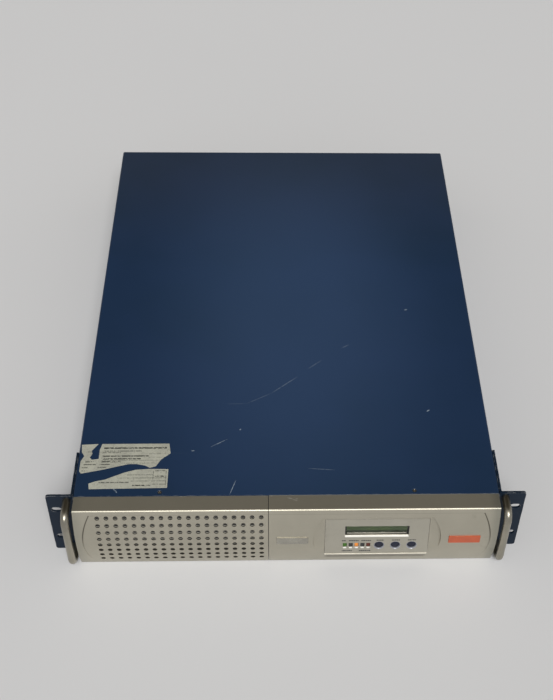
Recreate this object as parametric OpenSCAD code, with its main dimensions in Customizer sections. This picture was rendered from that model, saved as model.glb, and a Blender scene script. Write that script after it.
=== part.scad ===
// Rackmount UPS, two rack units high. Millimetres, +Z up, front towards -Y.
// The origin is the centre of the bounding box at the resting plane.
// Every module draws from the front plane of the rack ears, which at_face() sets in place.

/* [Rack] */
// Height in rack units
rack_units = 2; // [2:1:2]
// Overall width across the ears
rack_w = 482.6; // [482.6]
// Distance between the slot columns
slot_pitch_x = 465.1; // [465.1]
// Length of each ear slot
slot_len = 10.5; // [8:0.5:11]
// Height of each ear slot
slot_w = 7; // [6:0.5:7]

/* [Chassis] */
// Width of the chassis without its ears
chassis_w = 428; // [424:1:430]
// Depth from the ears' front plane to the rear panel
chassis_d = 580; // [560:5:640]
// Height of the closed chassis
chassis_h = 87.5; // [87:0.1:87.5]
// Thickness of the sheet metal
sheet = 1.2; // [1:0.1:1.5]
// Thickness of the ear brackets
ear_t = 2.5; // [2:0.5:3]
// Length of the ear flange along the chassis side
ear_flange = 55; // [45:1:70]

/* [Front] */
// Width of the plastic front
front_w = 426; // [420:1:427]
// Depth of the flat top of the plastic front
front_d = 18.4; // [16:0.1:20]
// How far the front face bows out at mid height
front_bow = 7.6; // [5:0.1:8]
// Wall thickness of the plastic front
front_wall = 2.5; // [2:0.1:3]
// Position of the seam between the two front pieces
seam_x = -19.3; // [-25:0.1:-15]
// Gap at the seam
seam_gap = 0.6; // [0.4:0.1:1]

/* [Ventilation] */
// Columns of vent holes
vent_cols = 19; // [10:1:19]
// Rows of vent holes
vent_rows = 8; // [4:1:8]
// Diameter of a vent hole
vent_d = 4.8; // [3:0.1:5]
// Distance between columns
vent_pitch_x = 9.03; // [8:0.01:9.03]
// Distance between rows
vent_pitch_z = 9.3; // [8:0.1:9.3]

/* [Display] */
// Width of the display panel
panel_w = 105.5; // [100:0.5:108]
// Height of the display panel along its slope
panel_h = 50; // [48:0.5:55]
// Centre of the display panel across the front
panel_x = 90.65; // [88:0.05:92]
// Backward tilt of the display panel in degrees
panel_tilt = 9.7; // [8:0.1:11]
// Width of the display window
window_w = 65; // [60:1:68]
// Height of the display window
window_h = 15.6; // [14:0.1:17]
// Diameter of a push button
button_d = 8.5; // [8:0.5:11]
// Travel of a push button
button_travel = 1; // [0.5:0.1:1.2]

/* [Handles] */
// Diameter of the handle bar
handle_d = 8; // [7:0.5:9]
// Distance between the two legs of a handle
handle_pitch = 76; // [70:1:76]
// Distance from the ears to the front of the handle
handle_reach = 28.5; // [27.5:0.5:32]

/* [Batteries] */
// Batteries in the drawer, one behind the other
battery_n = 4; // [1:1:4]
// Width of a battery
battery_w = 151; // [151]
// Depth of a battery case
battery_d = 94; // [94]
// Height of a battery lying on its side
battery_h = 65; // [65]

/* [Cooling] */
// Side of a fan frame
fan_size = 80; // [80]
// Depth of a fan frame
fan_depth = 25; // [20:1:25]
// Blades on a fan rotor
fan_blades = 7; // [5:1:9]

/* [Hidden] */
$fn = 48;

// Small sizes
eps = 0.01;
run_gap = 0.3; // clearance between bodies that slide past each other
fit_gap = 0.1; // clearance between pieces that stay together

// Rack frame
ear_h = rack_units * 44.45 - 0.8;
slot_pitch_z = 44.45;
slot_z = (ear_h - slot_pitch_z) / 2;
rear_reach = 8; // how far the breaker button stands off the rear panel
face_y = (handle_reach - chassis_d - rear_reach) / 2;

// Chassis
half_w = chassis_w / 2;
shell_half = half_w - sheet; // outside of the base's side walls, inside of the cover's
inner_half = shell_half - sheet; // free half width inside
cover_under = chassis_h - sheet;
bend_r = 2.2;
flange_w = 12;
flange_top = cover_under - fit_gap;
rear_y = chassis_d - sheet; // inner face of the rear panel
ear_corner = 3;

// Front
front_z0 = 1;
front_z1 = 87;
front_h = front_z1 - front_z0;
front_mid = (front_z0 + front_z1) / 2;
bow_r = (pow(front_h / 2, 2) + pow(front_bow, 2)) / (2 * front_bow);
bow_y = bow_r - front_d - front_bow; // centre of the bow's circle
front_edge_r = 2.2;
inset_depth = 0.45; // at mid height; twice that along the top, and nothing at the bottom
inset_drop = 1.5; // how far the field's centre sits below the bow's
inset_z1 = 81.7;
inset_apex = 206;
inset_r = 84;
function bow_at(z) = bow_y - sqrt(bow_r * bow_r - pow(z - front_mid, 2));
function field_at(z) = bow_y - sqrt(pow(bow_r - inset_depth, 2) - pow(z - front_mid + inset_drop, 2));

// Drawer opening and battery drawer
open_x0 = -202;
open_x1 = -31;
open_z0 = sheet;
open_z1 = 83.5;
bay_x = (open_x0 + open_x1) / 2;
tray_w = 160;
tray_l = 426;
tray_wall_h = 58;
tray_z = sheet + run_gap;
plate_y = -run_gap - sheet;
plate_x0 = -front_w / 2 + front_wall + 1;
plate_x1 = seam_x - seam_gap / 2 - front_wall - 1;
plate_z0 = 4.2;
plate_z1 = 83.8;
battery_y0 = 8;
battery_pitch = 104;
battery_z = tray_z + sheet;
terminal_l = 5;
terminal_h = 6.4;
lead_r = 1.8;
lead_levels = [71, 76, 80]; // heights of the jumpers and of the two main leads
plug_w = 36;
plug_h = 16;
plug_z = 49.5;
tab_x = [bay_x - 52, bay_x + 52];
snap_x = [bay_x - 48, bay_x + 48];
snap_w = 9;
snap_t = 2;
snap_z = [5.4, 80.6];

// Display panel: origin of its slope at the lower front edge
panel_z0 = 21.3;
panel_y0 = bow_at(panel_z0) - 3;
panel_t = 3;
window_z = 24.8;
lens_t = 1;
control_z = 13.6;
button_x = [93.4, 110.1, 126.8];
led_x0 = 58.4;
led_pitch = 6;
led_n = 5;
led_w = 4.2;
led_h = 7.6;
led_lip = [1, 1.4]; // depth and rise of the sloped lip under a status light
window_lip = [1.5, 2];
button_lip = [0.8, 0.6];
button_hole_r = button_d / 2 + run_gap;
bead_r = 0.8; // bead along the panel's lower edge
bead_z = 1.8;
button_sink = 1.1; // how far a push button sits behind the panel's face
scoop_z0 = 15.8;
scoop_z1 = 76.4;
scoop_apex = 65;
scoop_r = 53;
board_gap = 9.5; // from the panel's face to the display board
collar_t = 1; // collar that keeps a push button in the panel

// Badge and tag on the right front piece
badge_x = 179.8;
badge_z = 45.3;
badge_w = 32.4;
badge_h = 10.8;
badge_r = 0.8;
badge_proud = 0.7;
tag_x = 4.8;
tag_z = 45;
tag_w = 31.8;
tag_h = 10.2;
tag_r = 0.6;
tag_proud = 0.6;
seat_depth = 0.6; // both sit this deep in the front

// Electronics bay
board_x0 = -8;
board_x1 = 206;
board_y0 = 70;
board_y1 = 535;
board_z = 11;
board_t = 1.6;
board_top = board_z + board_t;
sink_x = [16, 118];
sink_w = 44;
sink_h = 56;
sink_y0 = 230;
sink_l = 190;
transistor_n = 4;

// Rear panel
fan_x = [60, 150];
fan_z = 43.8;
fan_bore = fan_size - 4;
fan_hole = fan_size / 2 - 4.25;
fan_hub_d = 34;
fan_shaft_d = 3;
fan_y1 = rear_y;
fan_y0 = fan_y1 - fan_depth;
inlet_x = -182;
inlet_z = 60;
breaker_z = 24;
socket_x0 = -141;
socket_pitch_x = 34;
socket_z = [27, 60];
socket_cols = 3;
comm_x = -16;
comm_z = 58;
comm_w = 64;
comm_h = 40;
port_z = 20;

module at_face() {
  translate([0, face_y, 0])
    children();
}

module on_slope() {
  translate([panel_x, panel_y0, panel_z0])
    rotate([-panel_tilt, 0, 0])
      children();
}

// A solid that runs along X from x0 to x1; its outline is drawn as (y, z)
module along_x(x0, x1) {
  translate([x0, 0, 0])
    rotate([90, 0, 90])
      linear_extrude(x1 - x0)
        children();
}

// A solid that runs along Y from y0 to y1; its outline is drawn as (x, z)
module along_y(y0, y1) {
  translate([0, y1, 0])
    rotate([90, 0, 0])
      linear_extrude(y1 - y0)
        children();
}

module box(x0, x1, y0, y1, z0, z1) {
  translate([x0, y0, z0])
    cube([x1 - x0, y1 - y0, z1 - z0]);
}

// A round bar along Y that starts at the given point
module bar_y(p, r, l) {
  translate(p)
    rotate([-90, 0, 0])
      cylinder(r = r, h = l);
}

module bar_x(p, r, l) {
  translate(p)
    rotate([0, 90, 0])
      cylinder(r = r, h = l);
}

module bar_z(p, r, l) {
  translate(p)
    cylinder(r = r, h = l);
}

module rounded_rect(w, h, r) {
  square([w - 2 * r, h], center = true);
  square([w, h - 2 * r], center = true);
  for (sx = [-1, 1], sz = [-1, 1])
    translate([sx * (w / 2 - r), sz * (h / 2 - r)])
      circle(r);
}

// A countersunk screw along +Z with its flat head at z = 0
module flat_screw(r, l) {
  translate([0, 0, -r])
    cylinder(r1 = r, r2 = 2 * r, h = r);
  translate([0, 0, -l])
    cylinder(r = r, h = l - r + eps);
}

// A cross recess along Z that reaches down from z = 0
module cross_recess(reach, width, depth) {
  for (a = [0, 90])
    rotate([0, 0, a])
      translate([-reach, -width / 2, -depth])
        cube([2 * reach, width, depth + 1]);
}

// A pan head screw along +Z with the underside of its head at z = 0
module pan_screw(r, head_r, head_h, l) {
  difference() {
    cylinder(r = head_r, h = head_h);
    translate([0, 0, head_h])
      cross_recess(head_r * 0.6, r * 0.4, head_h * 0.5);
  }
  translate([0, 0, -l])
    cylinder(r = r, h = l);
}

// A square of four points around a centre
module four(x, z) {
  for (sx = [-1, 1], sz = [-1, 1])
    translate([sx * x, 0, sz * z])
      children();
}

// ---- Chassis ----

cover_screws_top = [[-128, 4.5], [128, 4.5]];
cover_screw_r = 0.95;
side_screw_y = [160, 310, 460];
side_screw_z = 11;
ear_screw_y = [22, 44];
ear_screw_z = [20, 68];

module side_screw_points(side) {
  for (y = side_screw_y)
    translate([side * half_w, y, side_screw_z])
      children();
  for (y = ear_screw_y, z = ear_screw_z)
    translate([side * half_w, y, z])
      children();
}

module chassis_base() {
  color("#22324a")
    at_face()
      difference() {
        union() {
          box(-shell_half, shell_half, 0, chassis_d, 0, sheet);
          for (side = [-1, 1])
            scale([side, 1, 1])
              box(inner_half, shell_half, 0, chassis_d, 0, flange_top);
          box(-shell_half, shell_half, 0, sheet, 0, flange_top);
          box(-shell_half, shell_half, 0, flange_w, flange_top - sheet, flange_top);
        }
        box(open_x0, open_x1, -1, sheet + 1, open_z0, open_z1);
        box(panel_x - 58, panel_x + 58, -1, sheet + 1, 8, 78);
        for (p = cover_screws_top)
          bar_z([p[0], p[1], flange_top - 3], cover_screw_r, 5);
        for (x = [plate_x0 + 4, plate_x1 - 4], z = [14, 74])
          bar_y([x, -1, z], 1.25 + run_gap, 4);
        for (side = [-1, 1])
          side_screw_points(side)
            bar_x([-5, 0, 0], 1.6, 10);
      }
}

module cover_outline() {
  difference() {
    union() {
      translate([-half_w, sheet])
        square([chassis_w, chassis_h - sheet - bend_r]);
      translate([-half_w + bend_r, chassis_h - 2 * bend_r])
        square([chassis_w - 2 * bend_r, 2 * bend_r]);
      for (side = [-1, 1])
        translate([side * (half_w - bend_r), chassis_h - bend_r])
          circle(bend_r);
    }
    translate([-shell_half, 0])
      square([2 * shell_half, cover_under]);
  }
}

module top_cover() {
  color("#2e3f5b")
    at_face()
      difference() {
        along_y(0, chassis_d)
          cover_outline();
        for (p = cover_screws_top)
          translate([p[0], p[1], chassis_h + eps])
            flat_screw(cover_screw_r + run_gap, 6);
        for (side = [-1, 1])
          side_screw_points(side)
            bar_x([-5, 0, 0], 1.6, 10);
      }
}

module cover_screws() {
  color("silver")
    at_face() {
      for (p = cover_screws_top)
        translate([p[0], p[1], chassis_h])
          difference() {
            flat_screw(cover_screw_r, 6);
            cross_recess(1.1, 0.4, 0.6);
          }
      for (side = [-1, 1], y = side_screw_y)
        translate([side * half_w, y, side_screw_z])
          rotate([0, side * 90, 0])
            pan_screw(1.5, 2.9, 1.4, 5);
    }
}

module ear(side) {
  inner = half_w;
  outer = rack_w / 2;
  scale([side, 1, 1])
    difference() {
      union() {
        along_y(0, ear_t)
          difference() {
            translate([inner, 0])
              square([outer - inner, ear_h]);
            for (z = [0, ear_h])
              translate([outer, z])
                square(2 * ear_corner, center = true);
          }
        for (z = [ear_corner, ear_h - ear_corner])
          bar_y([outer - ear_corner, 0, z], ear_corner, ear_t);
        box(inner, inner + ear_t, 0, ear_t + ear_flange, 0.4, chassis_h - 0.6);
      }
      for (z = [slot_z, slot_z + slot_pitch_z]) {
        for (dx = [-1, 1])
          bar_y([slot_pitch_x / 2 + dx * (slot_len - slot_w) / 2, -1, z], slot_w / 2, ear_t + 2);
        translate([slot_pitch_x / 2 - (slot_len - slot_w) / 2, -1, z - slot_w / 2])
          cube([slot_len - slot_w, ear_t + 2, slot_w]);
      }
      for (z = handle_leg_z)
        bar_y([handle_x, -1, z], 2.15, ear_t + 2);
      for (y = ear_screw_y, z = ear_screw_z)
        bar_x([inner - 1, y, z], 2.15, ear_t + 2);
    }
}

module left_ear() {
  color("#26334a")
    at_face()
      ear(-1);
}

module right_ear() {
  color("#26334a")
    at_face()
      ear(1);
}

module ear_screws() {
  color("#3a3f48")
    at_face()
      for (side = [-1, 1], y = ear_screw_y, z = ear_screw_z)
        translate([side * (half_w + ear_t), y, z])
          rotate([0, side * 90, 0])
            pan_screw(1.5, 3.2, 1.6, ear_t + 4);
}

// ---- Handles ----

handle_r = handle_d / 2;
handle_x = 220.5;
handle_leg_z = [ear_h / 2 - handle_pitch / 2, ear_h / 2 + handle_pitch / 2];
handle_bend = 10;
handle_y = -handle_reach + handle_r;

module handle(side) {
  at_face()
    translate([side * handle_x, 0, 0])
      difference() {
        union() {
          for (z = handle_leg_z)
            bar_y([0, handle_y + handle_bend, z], handle_r, -handle_y - handle_bend);
          bar_z([0, handle_y, handle_leg_z[0] + handle_bend], handle_r, handle_pitch - 2 * handle_bend);
          for (top = [0, 1])
            translate([0, handle_y + handle_bend, handle_leg_z[top] + (1 - 2 * top) * handle_bend])
              rotate([0, 90, 0])
                rotate([0, 0, top ? 180 : -90])
                  rotate_extrude(angle = 90)
                    translate([handle_bend, 0])
                      circle(handle_r);
        }
        for (z = handle_leg_z)
          bar_y([0, -10, z], 2.05, 11);
      }
}

module left_handle() {
  color("#b7b3a6")
    handle(-1);
}

module right_handle() {
  color("#b7b3a6")
    handle(1);
}

module handle_screws() {
  color("silver")
    at_face()
      for (side = [-1, 1], z = handle_leg_z)
        translate([side * handle_x, ear_t, z])
          rotate([-90, 0, 0])
            pan_screw(2, 3, 2.2, ear_t + 8);
}

// ---- Plastic front ----

// Outline of the front as (y, z), out from the ears' plane; inset moves it inwards
module front_outline(inset = 0, back = 0) {
  r = bow_r - inset;
  z0 = front_z0 + inset;
  z1 = front_z1 - inset;
  edge = front_edge_r;
  fy = bow_y - sqrt(pow(r - edge, 2) - pow(z1 - edge - front_mid, 2));
  fz = z1 - edge;
  reach = 12;
  ux = (fy - bow_y) / (r - edge);
  uz = (fz - front_mid) / (r - edge);
  difference() {
    intersection() {
      translate([bow_y, front_mid])
        circle(r, $fn = 180);
      translate([-40, z0])
        square([40 + back, z1 - z0]);
    }
    difference() {
      polygon([
        [fy, fz], [fy, fz + reach], [fy + reach * ux, fz + reach],
        [fy + reach * ux, fz + reach * uz]
      ]);
      translate([fy, fz])
        circle(edge);
    }
  }
}

module inset_outline() {
  intersection() {
    translate([-inset_apex, front_z0])
      square([2 * inset_apex, inset_z1 - front_z0]);
    union() {
      translate([-inset_apex + inset_r, front_mid - inset_r])
        square([2 * (inset_apex - inset_r), 2 * inset_r]);
      for (side = [-1, 1])
        translate([side * (inset_apex - inset_r), front_mid])
          circle(inset_r, $fn = 120);
    }
  }
}

// The shallow field that both front pieces share
module front_inset() {
  difference() {
    along_y(-40, -1)
      inset_outline();
    along_x(-front_w, front_w)
      translate([bow_y, front_mid - inset_drop])
        circle(bow_r - inset_depth, $fn = 180);
  }
}

module front_shell(x0, x1, y1, wall_l, wall_r) {
  difference() {
    along_x(x0, x1)
      front_outline(0, y1);
    along_x(x0 + wall_l, x1 - wall_r)
      front_outline(front_wall, 1);
    front_inset();
  }
}

module front_cover() {
  x1 = seam_x - seam_gap / 2;
  color("#98958a")
    at_face() {
      difference() {
        front_shell(-front_w / 2, x1, -run_gap, front_wall, front_wall);
        for (i = [0 : vent_cols - 1], j = [0 : vent_rows - 1])
          bar_y([-189 + i * vent_pitch_x, -32, 78 - j * vent_pitch_z], vent_d / 2, 24);
      }
      for (x = snap_x, z = snap_z) {
        box(x - snap_w / 2, x + snap_w / 2, -12, 4, z, z + snap_t);
        if (z > front_mid)
          box(x - snap_w / 2, x + snap_w / 2, -12, -4, z + snap_t, front_z1 - front_wall + 0.2);
        else
          box(x - snap_w / 2, x + snap_w / 2, -12, -4, front_z0 + front_wall - 0.2, z);
      }
    }
}

module cover_filter() {
  gap = front_wall + 1;
  color("#1d1d1e")
    at_face()
      intersection() {
        difference() {
          along_x(-front_w / 2 + 6, seam_x - 6)
            translate([bow_y, front_mid])
              circle(bow_r - gap, $fn = 180);
          along_x(-front_w, 0)
            translate([bow_y, front_mid])
              circle(bow_r - gap - 2.2, $fn = 180);
        }
        box(-front_w, 0, -40, -5, 9, 79);
      }
}

module scoop_outline() {
  mid = (scoop_z0 + scoop_z1) / 2;
  intersection() {
    translate([panel_x - scoop_apex, scoop_z0])
      square([2 * scoop_apex, scoop_z1 - scoop_z0]);
    union() {
      translate([panel_x - scoop_apex + scoop_r, mid - scoop_r])
        square([2 * (scoop_apex - scoop_r), 2 * scoop_r]);
      for (side = [-1, 1])
        translate([panel_x + side * (scoop_apex - scoop_r), mid])
          circle(scoop_r, $fn = 96);
    }
  }
}

module front_bezel() {
  x0 = seam_x + seam_gap / 2;
  pocket = panel_w / 2 + 0.25;
  color("#99968b")
    at_face()
      difference() {
        union() {
          front_shell(x0, front_w / 2, 0, front_wall, front_wall);
          intersection() {
            along_x(panel_x - scoop_apex - 3, panel_x + scoop_apex + 3)
              front_outline(3 * inset_depth);
            box(0, front_w, -40, -11, scoop_z0 - 3, scoop_z1 + 2.5);
          }
        }
        intersection() {
          along_y(-40, -5)
            scoop_outline();
          on_slope()
            box(-front_w, front_w, -30, 0, -front_h, 2 * front_h);
        }
        on_slope()
          box(-pocket, pocket, -20, 30, -0.25, panel_h + 0.25);
        plaque(badge_x, badge_z, badge_w + 2 * fit_gap, badge_h + 2 * fit_gap, badge_r, 5);
        plaque(tag_x, tag_z, tag_w + 2 * fit_gap, tag_h + 2 * fit_gap, tag_r, 5);
      }
}

// A rounded plate in the front's field that stands this proud of it
module plaque(x, z, w, h, r, proud) {
  translate([x, field_at(z), z])
    along_y(-proud, seat_depth)
      rounded_rect(w, h, r);
}

module badge() {
  color("#b4613c")
    at_face()
      plaque(badge_x, badge_z, badge_w, badge_h, badge_r, badge_proud);
}

module model_tag() {
  color("#b5b2a8")
    at_face()
      plaque(tag_x, tag_z, tag_w, tag_h, tag_r, tag_proud);
}

// ---- Display ----

module led_spots() {
  for (i = [0 : led_n - 1])
    translate([led_x0 + i * led_pitch - panel_x, 0, control_z - 0.4])
      children();
}

module button_spots() {
  for (x = button_x)
    translate([x - panel_x, 0, control_z])
      children();
}

board_hole_x = panel_w / 2 - 6;
board_hole_z = [7, panel_h - 7];

// An opening through the panel whose lower lip slopes inwards
module lipped_opening(w, z0, z1, lip) {
  along_x(-w / 2, w / 2)
    polygon([
      [-1, z0], [0, z0], [lip[0], z0 + lip[1]], [panel_t + 1, z0 + lip[1]], [panel_t + 1, z1], [-1, z1]
    ]);
}

module display_panel() {
  color("#9b978c")
    at_face()
      on_slope() {
        for (sx = [-1, 1], z = board_hole_z)
          bar_y([sx * board_hole_x, panel_t, z], 2.6, board_gap - panel_t);
        difference() {
          union() {
            box(-panel_w / 2, panel_w / 2, 0, panel_t, 0, panel_h);
            bar_x([-panel_w / 2, 0, bead_z], bead_r, panel_w);
          }
          lipped_opening(window_w, window_z, window_z + window_h, window_lip);
          led_spots()
            lipped_opening(led_w, -led_h / 2, led_h / 2, led_lip);
          button_spots() {
            bar_y([0, -1, 0], button_hole_r, panel_t + 2);
            rotate([-90, 0, 0])
              translate([0, 0, -eps])
                cylinder(r1 = button_hole_r + button_lip[1], r2 = button_hole_r, h = button_lip[0]);
          }
        }
      }
}

module lcd_lens() {
  color("#a9b3a0", 0.5)
    at_face()
      on_slope()
        box(-window_w / 2 - 2, window_w / 2 + 2, panel_t, panel_t + lens_t, window_z - 2,
          window_z + window_h + 2);
}

module lcd_module() {
  color("#5d6b47")
    at_face()
      on_slope() {
        box(-36, 36, panel_t + lens_t, board_gap - 0.2, window_z - 4, window_z + window_h + 4);
        for (sx = [-1, 1])
          box(sx * 39 - 3, sx * 39 + 3, panel_t + lens_t, board_gap - 0.2, window_z, window_z + 8);
      }
}

module display_board() {
  switch_y = panel_t + 2 * run_gap + collar_t + button_travel;
  color("#2f5a3c")
    at_face()
      on_slope() {
        difference() {
          box(-panel_w / 2 + 2, panel_w / 2 - 2, board_gap, board_gap + board_t, 3, panel_h - 3);
          for (sx = [-1, 1], z = board_hole_z)
            bar_y([sx * board_hole_x, board_gap - 1, z], 1.6, board_t + 2);
        }
        button_spots()
          box(-3, 3, switch_y, board_gap, -3, 3);
        box(-12, 12, board_gap + board_t, board_gap + board_t + 8, 5, 13);
      }
}

module status_leds() {
  color("#7fb53a")
    at_face()
      on_slope()
        led_spots() {
          box(-led_w / 2 + fit_gap, led_w / 2 - fit_gap, 2.4, panel_t + 3,
            -led_h / 2 + led_lip[1] + fit_gap, led_h / 2 - fit_gap);
          box(-1.5, 1.5, panel_t + 3, board_gap, -1.5, 1.5);
        }
}

// A domed cap that sits just inside the panel, with a collar behind it
module push_button(i) {
  dome_r = 22;
  cap_r = button_d / 2;
  color("#3b4252")
    at_face()
      on_slope()
        translate([button_x[i] - panel_x, 0, control_z]) {
          intersection() {
            bar_y([0, 0, 0], cap_r, panel_t + run_gap + collar_t);
            translate([0, button_sink + dome_r, 0])
              sphere(dome_r, $fn = 96);
          }
          bar_y([0, panel_t + run_gap, 0], cap_r + 1, collar_t);
        }
}

module button_1() {
  push_button(0);
}

module button_2() {
  push_button(1);
}

module button_3() {
  push_button(2);
}

// ---- Rating label on the cover, torn across ----

label_t = 0.12;
label_upper = [
  [-212, 67], [-195, 68], [-199, 62], [-201, 59], [-200, 55], [-202, 50], [-200, 47], [-193, 48],
  [-193, 60], [-191, 68], [-122, 68], [-120, 55], [-129, 47], [-134, 38], [-140, 36], [-145, 39],
  [-154, 41], [-162, 41], [-173, 38], [-187, 34], [-209, 29], [-211, 32], [-211, 45], [-208, 52],
  [-211, 57]
];
label_lower = [
  [-200, 16], [-193, 19], [-184, 21], [-178, 24], [-165, 30], [-154, 33.5], [-140, 34.5],
  [-121, 34], [-121, 10], [-199, 9]
];

module rating_label() {
  color("#a8aa9e")
    at_face()
      translate([0, 0, chassis_h])
        for (outline = [label_upper, label_lower])
          linear_extrude(label_t)
            polygon(outline);
}

// ---- Battery drawer ----

module drawer_rails() {
  color("silver")
    at_face()
      for (side = [-1, 1])
        translate([bay_x, 0, 0])
          scale([side, 1, 1]) {
            box(tray_w / 2 + 0.5, tray_w / 2 + 0.5 + sheet, 3, tray_l + 4, sheet, 14);
            box(tray_w / 2 + 0.5 + sheet, tray_w / 2 + 8, 3, tray_l + 4, sheet, 2 * sheet);
          }
}

module bay_divider() {
  x = -18;
  color("silver")
    at_face()
      difference() {
        union() {
          box(x, x + sheet, sheet + 2, tray_l + 12, sheet, flange_top - sheet);
          box(x, x + 8, sheet + 2, tray_l + 12, sheet, 2 * sheet);
        }
        for (y = [60 : 24 : 396], z = [24 : 15 : 69])
          box(x - 1, x + sheet + 1, y, y + 16, z, z + 5);
      }
}

module battery_tray() {
  color("silver")
    at_face()
      translate([bay_x, 0, tray_z])
        difference() {
          union() {
            box(-tray_w / 2, tray_w / 2, -run_gap, tray_l, 0, sheet);
            for (side = [-1, 1])
              scale([side, 1, 1])
                box(tray_w / 2 - sheet, tray_w / 2, -run_gap, tray_l, 0, tray_wall_h);
            box(-tray_w / 2, tray_w / 2, tray_l - sheet, tray_l, 0, tray_wall_h);
            box(-tray_w / 2, tray_w / 2, -run_gap, sheet - run_gap, 0, tray_wall_h / 2);
          }
          for (x = snap_x)
            box(x - bay_x - snap_w / 2 - 1, x - bay_x + snap_w / 2 + 1, -1, 2, sheet, 9);
          for (i = [0 : battery_n - 1])
            bar_z([0, battery_y0 + battery_d / 2 + i * battery_pitch, -1], 12, sheet + 2);
        }
}

module drawer_plate() {
  cols = 6;
  rows = 4;
  pitch = 25;
  color("silver")
    at_face()
      difference() {
        box(plate_x0, plate_x1, plate_y, -run_gap, plate_z0, plate_z1);
        for (i = [0 : cols - 1], j = [0 : rows - 1])
          translate([bay_x + (i - (cols - 1) / 2) * pitch, 0, 17 + j * 18])
            box(-10, 10, plate_y - 1, 1, -4, 4);
        for (x = snap_x, z = snap_z)
          box(x - snap_w / 2 - fit_gap, x + snap_w / 2 + fit_gap, plate_y - 1, 1, z - fit_gap,
            z + snap_t + fit_gap);
        for (x = [plate_x0 + 4, plate_x1 - 4], z = [14, 74])
          bar_y([x, plate_y - 1, z], 1.6, 4);
        for (side = [-1, 1])
          bar_y([bay_x + side * 30, plate_y - 1, 43.5], 2.1, 4);
      }
}

// A bent wire pull on the drawer's plate
module drawer_pull() {
  r = 2;
  reach = 12;
  half = 30;
  color("#2a2b2d")
    at_face()
      translate([bay_x, plate_y, 43.5]) {
        for (side = [-1, 1]) {
          bar_y([side * half, -reach, 0], r, reach + sheet);
          translate([side * half, -reach, 0])
            sphere(r);
        }
        bar_x([-half, -reach, 0], r, 2 * half);
      }
}

module drawer_screws() {
  color("silver")
    at_face()
      for (x = [plate_x0 + 4, plate_x1 - 4], z = [14, 74])
        translate([x, plate_y, z])
          rotate([90, 0, 0])
            pan_screw(1.25, 2.6, 1.8, sheet + run_gap + sheet + 1);
}

module battery(i) {
  lid = 12;
  color("#3a3d40")
    at_face()
      translate([bay_x, battery_y0 + i * battery_pitch, battery_z + battery_h / 2])
        difference() {
          along_y(0, battery_d)
            rounded_rect(battery_w, battery_h, 2);
          difference() {
            box(-battery_w, battery_w, battery_d - lid, battery_d - lid + 1, -battery_h, battery_h);
            along_y(0, battery_d)
              rounded_rect(battery_w - 1.6, battery_h - 1.6, 1.2);
          }
        }
}

module battery_1() {
  battery(0);
}

module battery_2() {
  battery(1);
}

module battery_3() {
  battery(2);
}

module battery_4() {
  battery(3);
}

terminal_z = battery_z + battery_h - 14;

module terminal_spots() {
  for (i = [0 : battery_n - 1], x = tab_x)
    translate([x, battery_y0 + battery_d + i * battery_pitch, terminal_z])
      children();
}

module battery_terminals() {
  color("#c9b27a")
    at_face()
      terminal_spots()
        difference() {
          box(-0.4, 0.4, 0, terminal_l, -terminal_h / 2, terminal_h / 2);
          bar_x([-1, 3.2, 0], 1, 2);
        }
}

// A lead that rises from point a to the level top, runs level, and drops to point b
module lead(a, b, top) {
  run = [b[0] - a[0], b[1] - a[1]];
  bend = 4;
  translate([a[0], a[1], 0])
    rotate([0, 0, atan2(run[1], run[0])])
      rotate([90, 0, 0]) {
        l = norm(run);
        for (p = [[0, a[2]], [l, b[2]]])
          translate([p[0], p[1], 0])
            rotate([-90, 0, 0])
              cylinder(r = lead_r, h = top - bend - p[1]);
        translate([bend, top, 0])
          rotate([0, 90, 0])
            cylinder(r = lead_r, h = l - 2 * bend);
        for (end = [0, 1])
          translate([end ? l - bend : bend, top - bend, 0])
            rotate([0, 0, end ? 0 : 90])
              rotate_extrude(angle = 90)
                translate([bend, 0])
                  circle(lead_r);
      }
}

module battery_leads() {
  y0 = battery_y0 + battery_d + terminal_l / 2;
  z0 = terminal_z + terminal_h / 2;
  end_y = y0 + (battery_n - 1) * battery_pitch;
  plug_top = [bay_x, tray_l + 7, plug_z + plug_h];
  color("#8c2f28")
    at_face() {
      for (i = [0 : battery_n - 2])
        lead([tab_x[(i + 1) % 2], y0 + i * battery_pitch, z0],
          [tab_x[(i + 1) % 2], y0 + (i + 1) * battery_pitch, z0], lead_levels[0]);
      lead([tab_x[0], end_y, z0], plug_top - [9, 0, 0], lead_levels[1]);
      lead([tab_x[0], y0, z0], plug_top + [9, 0, 0], lead_levels[2]);
    }
}

module battery_plug() {
  color("#56595c")
    at_face()
      difference() {
        box(bay_x - plug_w / 2, bay_x + plug_w / 2, tray_l, tray_l + 14, plug_z, plug_z + plug_h);
        for (side = [-1, 1])
          bar_y([bay_x + side * 9, tray_l + 4, plug_z + plug_h / 2], 4.4, 12);
      }
}

module battery_socket() {
  y0 = tray_l + 14 + 2 * run_gap;
  wall_y = y0 + 12;
  color("#4a4d50")
    at_face() {
      for (side = [-1, 1])
        bar_y([bay_x + side * 9, tray_l + 6, plug_z + plug_h / 2], 3.6, y0 - tray_l - 6);
      box(bay_x - plug_w / 2, bay_x + plug_w / 2, y0, wall_y, plug_z, plug_z + plug_h);
      box(bay_x - 30, bay_x + 30, wall_y, wall_y + 2, sheet, plug_z + 20);
      box(bay_x - 30, bay_x + 30, wall_y + 2, wall_y + 16, sheet, sheet + 2);
    }
}

// ---- Electronics ----

module standoff_spots() {
  for (x = [board_x0 + 8, (board_x0 + board_x1) / 2, board_x1 - 8], y = [board_y0 + 8, board_y1 - 8])
    translate([x, y, 0])
      children();
}

module main_board() {
  color("#2c5a3a")
    at_face()
      difference() {
        box(board_x0, board_x1, board_y0, board_y1, board_z, board_top);
        standoff_spots()
          bar_z([0, 0, board_z - 1], 1.7, board_t + 2);
      }
}

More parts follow.
